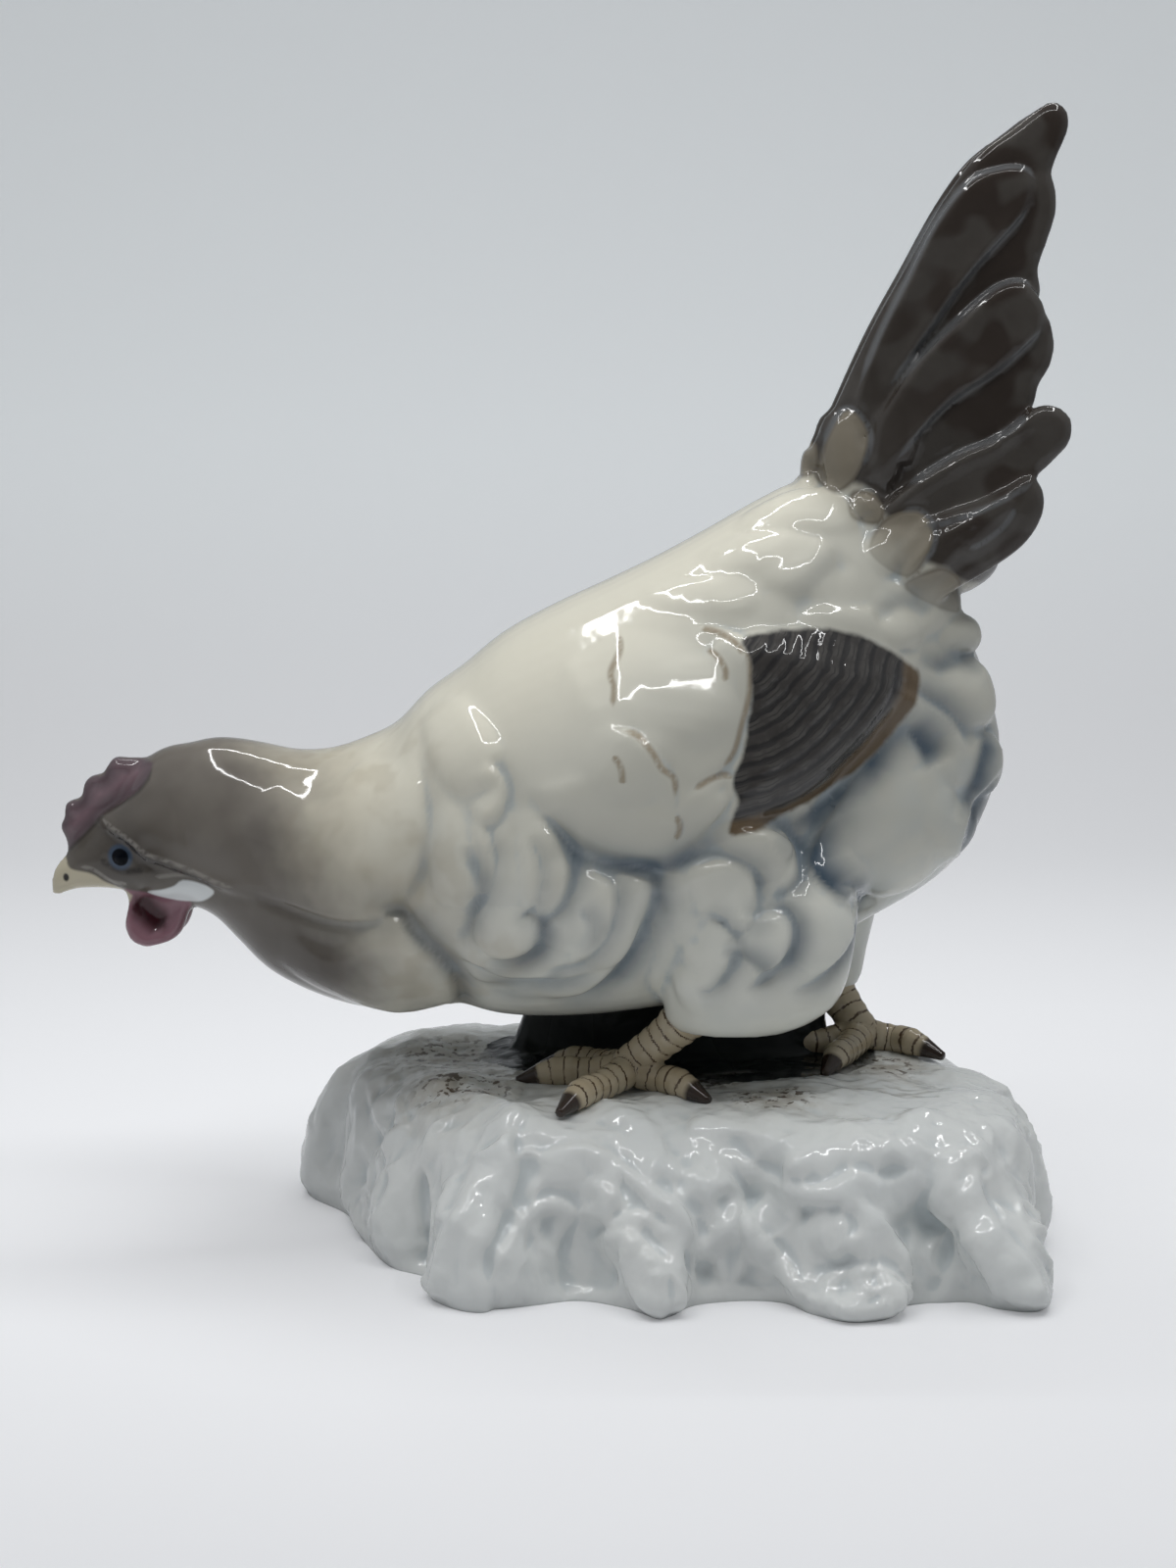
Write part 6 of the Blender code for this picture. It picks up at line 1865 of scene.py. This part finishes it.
def patches(tree, place, size, detail=3.0, seed=0.0):
    """Soft cloudy patches of about a size in millimetres, from 0 to 1."""
    node = tree.nodes.new("ShaderNodeTexNoise")
    plug(tree, node.inputs["Vector"], place.vector("ADD", (seed, seed, seed)))
    node.inputs["Scale"].default_value = 1.0 / size
    node.inputs["Detail"].default_value = detail
    return Wire(tree, node.outputs["Fac"])


print("washes are ready")

# %% The hen's glaze
WHITE = (0.72, 0.72, 0.65, 1.0)
CREAM = (0.74, 0.71, 0.59, 1.0)
BLUE = (0.042, 0.075, 0.115, 1.0)
PALE_BLUE = (0.33, 0.42, 0.49, 1.0)
HEAD_BROWN = (0.155, 0.139, 0.120, 1.0)
HEAD_LINE = (0.022, 0.018, 0.016, 1.0)
RIDGE_HIGHLIGHT = (0.38, 0.36, 0.32, 1.0)
HEAD_MOTTLE_AND_SHEEN = (0.23, 0.21, 0.18, 1.0)
FACE_BROWN = (0.036, 0.028, 0.021, 1.0)
FLANK_SHADE = (0.50, 0.49, 0.42, 1.0)
LOBE_CREAM = (0.60, 0.54, 0.42, 1.0)
LOBE_BROWN = (0.42, 0.37, 0.27, 1.0)
TAIL_BROWN = (0.022, 0.013, 0.009, 1.0)
TAIL_GREY = (0.048, 0.042, 0.036, 1.0)
TAIL_PALE = (0.074, 0.067, 0.060, 1.0)
COVERT_BROWN = (0.22, 0.195, 0.15, 1.0)
WING_GREY = (0.050, 0.046, 0.043, 1.0)
WING_PALE = (0.082, 0.077, 0.071, 1.0)
WING_BLACK = (0.016, 0.016, 0.018, 1.0)
WING_EDGE = (0.150, 0.105, 0.060, 1.0)
WING_LINE = (0.27, 0.21, 0.135, 1.0)
WING_HAIR_PITCH = 0.95
GROOVE_BLUE = (0.150, 0.158, 0.165, 1.0)
COMB_PINK = (0.42, 0.26, 0.30, 1.0)
COMB_GREY = (0.115, 0.085, 0.095, 1.0)
WATTLE_PINK = (0.275, 0.145, 0.175, 1.0)
WATTLE_RED = (0.045, 0.004, 0.009, 1.0)
BEAK_CREAM = (0.56, 0.51, 0.38, 1.0)
LOBE_WHITE = (0.80, 0.83, 0.83, 1.0)
EYE_RING = (0.045, 0.075, 0.125, 1.0)
EYE_BLACK = (0.004, 0.005, 0.008, 1.0)
EYE_MIDDLE = (-85.0, 43.9)
NOSTRIL = (-96.7, 39.0)


def spot_away(middle, x, height, width):
    """How far a place is from a painted spot; a width below one makes the spot narrow."""
    across = (x - middle[0]) / width
    up = height - middle[1]
    return (across * across + up * up).number("SQRT")


def hen_glaze():
    material, tree, shader = glaze("hen_glaze")
    place = place_in_mm(tree)
    split = tree.nodes.new("ShaderNodeSeparateXYZ")
    plug(tree, split.inputs[0], place)
    x = Wire(tree, split.outputs["X"])
    height = Wire(tree, split.outputs["Z"]) - ROCK_HEIGHT
    clouds = patches(tree, place, 14.0)
    ripple(tree, shader, place, 9.0, 0.14)

    back = (height + x * -0.75).ramp(45.0, 85.0)
    colour = wash(tree, back * 0.8, WHITE, CREAM)
    # Painted shade: the sides below the back are darkened with a grey cream, for the light that falls from
    # above.
    flank_shade = height.ramp(36.0, 56.0) * (1.0 - back.number("MINIMUM", 1.0)) * 0.75
    colour = wash(tree, flank_shade, colour, FLANK_SHADE)
    tops = 1.0 - layer(tree, "wide_hollow").ramp(-2.0, -0.2)
    colour = wash(tree, tops * layer(tree, "hood").ramp(-75.0, -10.0) * 0.40, colour, LOBE_CREAM)
    under = (1.0 - height.ramp(10.0, 62.0)) * 0.12
    under = under + x.ramp(45.0, 75.0) * (1.0 - height.ramp(62.0, 90.0)) * 0.22
    colour = wash(tree, under * patches(tree, place, 10.0, 2.0, 4.0).ramp(0.30, 0.70), colour, PALE_BLUE)
    pooled = layer(tree, "wide_hollow").ramp(0.3, 3.0) * 0.55
    pooled = pooled + layer(tree, "fine_hollow").ramp(0.02, 0.30) * 0.35
    colour = wash(tree, pooled.number("MINIMUM", 0.9), colour, PALE_BLUE)
    colour = wash(tree, layer(tree, "blue") * (clouds.ramp(0.30, 0.60) * 0.35 + 0.65), colour, BLUE)

    warm = patches(tree, place, 8.0, 2.0, 5.0).ramp(0.48, 0.66) * layer(tree, "hood").ramp(-42.0, -6.0)
    colour = wash(tree, warm * 0.35, colour, LOBE_BROWN)
    hood = (layer(tree, "hood") + (clouds - 0.5) * 18.0).ramp(-10.0, 15.0)
    # The hood's paler patches are partly its own mottled tone and partly a painted sheen.
    head = wash(tree, patches(tree, place, 16.0, 3.0, 9.0).ramp(0.42, 0.70) * 0.55, HEAD_BROWN, HEAD_MOTTLE_AND_SHEEN)
    away = spot_away(EYE_MIDDLE, x, height, 1.4)
    head = wash(tree, (1.0 - away.ramp(3.0, 12.0)) * 0.65, head, FACE_BROWN)
    head = wash(tree, (1.0 - height.ramp(20.0, 42.0)) * 0.6, head, FACE_BROWN)
    shade = (layer(tree, "hood") + (clouds - 0.5) * 30.0).ramp(-27.0, -2.0)
    colour = wash(tree, shade * 0.45, colour, LOBE_BROWN)
    colour = wash(tree, hood, colour, head)
    # Painted highlight: a thin pale line along the head's sharp ridges.
    colour = wash(tree, (1.0 - layer(tree, "ridge_highlight").ramp(0.1, 0.7)) * 0.45, colour, RIDGE_HIGHLIGHT)
    colour = wash(tree, (1.0 - layer(tree, "brow_line").ramp(0.1, 1.1)) * 0.75, colour, HEAD_LINE)
    comb = wash(tree, layer(tree, "comb").ramp(0.0, 7.0), COMB_GREY, COMB_PINK)
    colour = wash(tree, layer(tree, "comb").ramp(-0.5, 0.5), colour, comb)
    wattle = wash(tree, layer(tree, "wattle_hollow").ramp(1.0, 4.0), WATTLE_RED, WATTLE_PINK)
    colour = wash(tree, layer(tree, "wattle").ramp(-0.3, 0.5), colour, wattle)
    colour = wash(tree, layer(tree, "beak").ramp(-0.3, 0.4), colour, BEAK_CREAM)
    colour = wash(tree, layer(tree, "earlobe").ramp(-0.3, 0.3), colour, LOBE_WHITE)
    colour = wash(tree, 1.0 - spot_away(NOSTRIL, x, height, 0.75).ramp(0.5, 1.1), colour, HEAD_LINE)

    patch = layer(tree, "wing_patch")
    across = layer(tree, "wing_across")
    streaks = patches(tree, place, 3.5, 4.0)
    bent = across + (streaks - 0.5) * 1.4 + (clouds - 0.5) * 1.2 - 0.1 * WING_FEATHER_PITCH
    gaps = (bent * (math.tau / WING_FEATHER_PITCH)).number("COSINE") * 0.5 + 0.5
    hairs = (bent * (math.tau / WING_HAIR_PITCH)).number("COSINE") * 0.5 + 0.5
    wing = wash(tree, streaks.ramp(0.35, 0.65), WING_GREY, WING_PALE)
    wing = wash(tree, gaps.ramp(0.45, 1.0) * 0.65, wing, WING_BLACK)
    wing = wash(tree, hairs.ramp(0.6, 1.0) * streaks.ramp(0.40, 0.60) * 0.5, wing, WING_BLACK)
    brim = 1.0 - (across + (streaks - 0.5) * 1.5).ramp(-1.9, -0.3)
    wing = wash(tree, brim * 0.8, wing, WING_EDGE)
    colour = wash(tree, (1.0 - layer(tree, "wing_line").ramp(0.1, 1.0)) * 0.75, colour, WING_LINE)
    colour = wash(tree, (patch + (streaks - 0.5) * 1.2).ramp(-0.6, 0.6), colour, wing)

    tail = (layer(tree, "tail") + (clouds - 0.5) * 3.0).ramp(-1.0, 0.8)
    faded = layer(tree, "tail").ramp(-9.0, 0.0)
    pools = patches(tree, place, 10.0, 1.0, 3.0).ramp(0.44, 0.56) * (x + height * 0.25).ramp(75.0, 118.0)
    dark = wash(tree, patches(tree, place, 5.0, 3.0, 8.0), TAIL_GREY, TAIL_PALE)
    dark = wash(tree, pools * 0.65, dark, TAIL_BROWN)
    colour = wash(tree, faded * 0.4, colour, COVERT_BROWN)
    colour = wash(tree, tail, colour, dark)
    covert = layer(tree, "covert")
    colour = wash(tree, covert.ramp(-0.4, 0.3) * (faded * 0.55 + 0.40), colour, COVERT_BROWN)
    rim = 1.0 - covert.number("ABSOLUTE").ramp(0.15, 0.8)
    colour = wash(tree, rim * faded * 0.35, colour, TAIL_BROWN)
    line = 1.0 - layer(tree, "tail_line").ramp(0.1, 0.9)
    colour = wash(tree, line * tail * 0.6, colour, GROOVE_BLUE)

    away = spot_away(EYE_MIDDLE, x, height, 1.0)
    colour = wash(tree, (1.0 - away.ramp(2.1, 3.0)) * 0.9, colour, EYE_RING)
    pupil = 1.0 - away.ramp(1.55, 1.9)
    colour = wash(tree, pupil, colour, EYE_BLACK)
    plug(tree, shader.inputs["Specular IOR Level"], pupil * -0.43 + 0.5)
    plug(tree, shader.inputs["Base Color"], colour)
    return material


hen_finish = hen_glaze()
print(hen_finish.name, "has", len(hen_finish.node_tree.nodes), "nodes")

# %% The feet's glaze
TOE_CREAM = (0.52, 0.46, 0.34, 1.0)
TOE_TAN = (0.36, 0.28, 0.17, 1.0)
TOE_LINE = (0.075, 0.045, 0.025, 1.0)
CLAW_BROWN = (0.030, 0.018, 0.012, 1.0)


def foot_glaze():
    material, tree, shader = glaze("foot_glaze")
    place = place_in_mm(tree)
    skin = wash(tree, patches(tree, place, 5.0), TOE_TAN, TOE_CREAM)
    along = layer(tree, "toe_along") + patches(tree, place, 4.0) * 1.2
    turns = (along / SCUTE_SPACING * math.tau).number("COSINE") * 0.5 + 0.5
    colour = wash(tree, turns.ramp(0.90, 0.99) * patches(tree, place, 3.0).ramp(0.3, 0.5), skin, TOE_LINE)
    colour = wash(tree, layer(tree, "fine_hollow").ramp(0.10, 0.35) * 0.9, colour, TOE_LINE)
    colour = wash(tree, layer(tree, "claw").ramp(1.6, 3.0), colour, CLAW_BROWN)
    plug(tree, shader.inputs["Base Color"], colour)
    return material


foot_finish = foot_glaze()
print(foot_finish.name, "has", len(foot_finish.node_tree.nodes), "nodes")

# %% The rock's glaze
ROCK_WHITE = (0.80, 0.81, 0.785, 1.0)
ROCK_GREY = (0.72, 0.75, 0.745, 1.0)
ROCK_POOL = (0.46, 0.53, 0.56, 1.0)
ROCK_DUST = (0.36, 0.31, 0.235, 1.0)
PILLAR_SHADE = (0.014, 0.017, 0.016, 1.0)


def rock_glaze():
    material, tree, shader = glaze("rock_glaze")
    place = place_in_mm(tree)
    colour = wash(tree, patches(tree, place, 20.0), ROCK_GREY, ROCK_WHITE)
    pooled = layer(tree, "wide_hollow").ramp(0.2, 3.0) * 0.3
    pooled = pooled + layer(tree, "fine_hollow").ramp(0.02, 0.25) * 0.35
    colour = wash(tree, pooled, colour, ROCK_POOL)
    ripple(tree, shader, place, 6.0, 0.6)
    near_feet = layer(tree, "near_feet")
    dabs = patches(tree, place, 1.8, 3.0, 7.0).ramp(0.55, 0.61) * near_feet.ramp(0.25, 0.8)
    dust = near_feet * patches(tree, place, 4.0, 4.0, 2.0).ramp(0.30, 0.60) * 0.7
    colour = wash(tree, dust, colour, ROCK_DUST)
    colour = wash(tree, dabs * 0.9, colour, TOE_LINE)
    plug(tree, shader.inputs["Roughness"], near_feet * 0.25 + 0.07)
    # Painted shade: the pillar under the belly is painted near black, and its mirror image is dimmed.
    colour = wash(tree, layer(tree, "pillar").ramp(0.15, 0.6), colour, PILLAR_SHADE)
    plug(tree, shader.inputs["Specular IOR Level"], layer(tree, "pillar") * -0.4 + 0.5)
    plug(tree, shader.inputs["Base Color"], colour)
    return material


rock_finish = rock_glaze()
print(rock_finish.name, "has", len(rock_finish.node_tree.nodes), "nodes")

# %% [markdown]
# ## Handing the pieces over
#
# The three skins are one fired piece, so all ride on the root body and stand for the imported hen.
# Each takes its own glaze.

# %% Handing the pieces over
for piece, made in ((hen, hen_finish), (feet, foot_finish), (rock, rock_finish)):
    piece.data.materials.clear()
    piece.data.materials.append(made)
    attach(piece, "root")
    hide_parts(NODE)
    print(piece.name, "is glazed with", made.name)
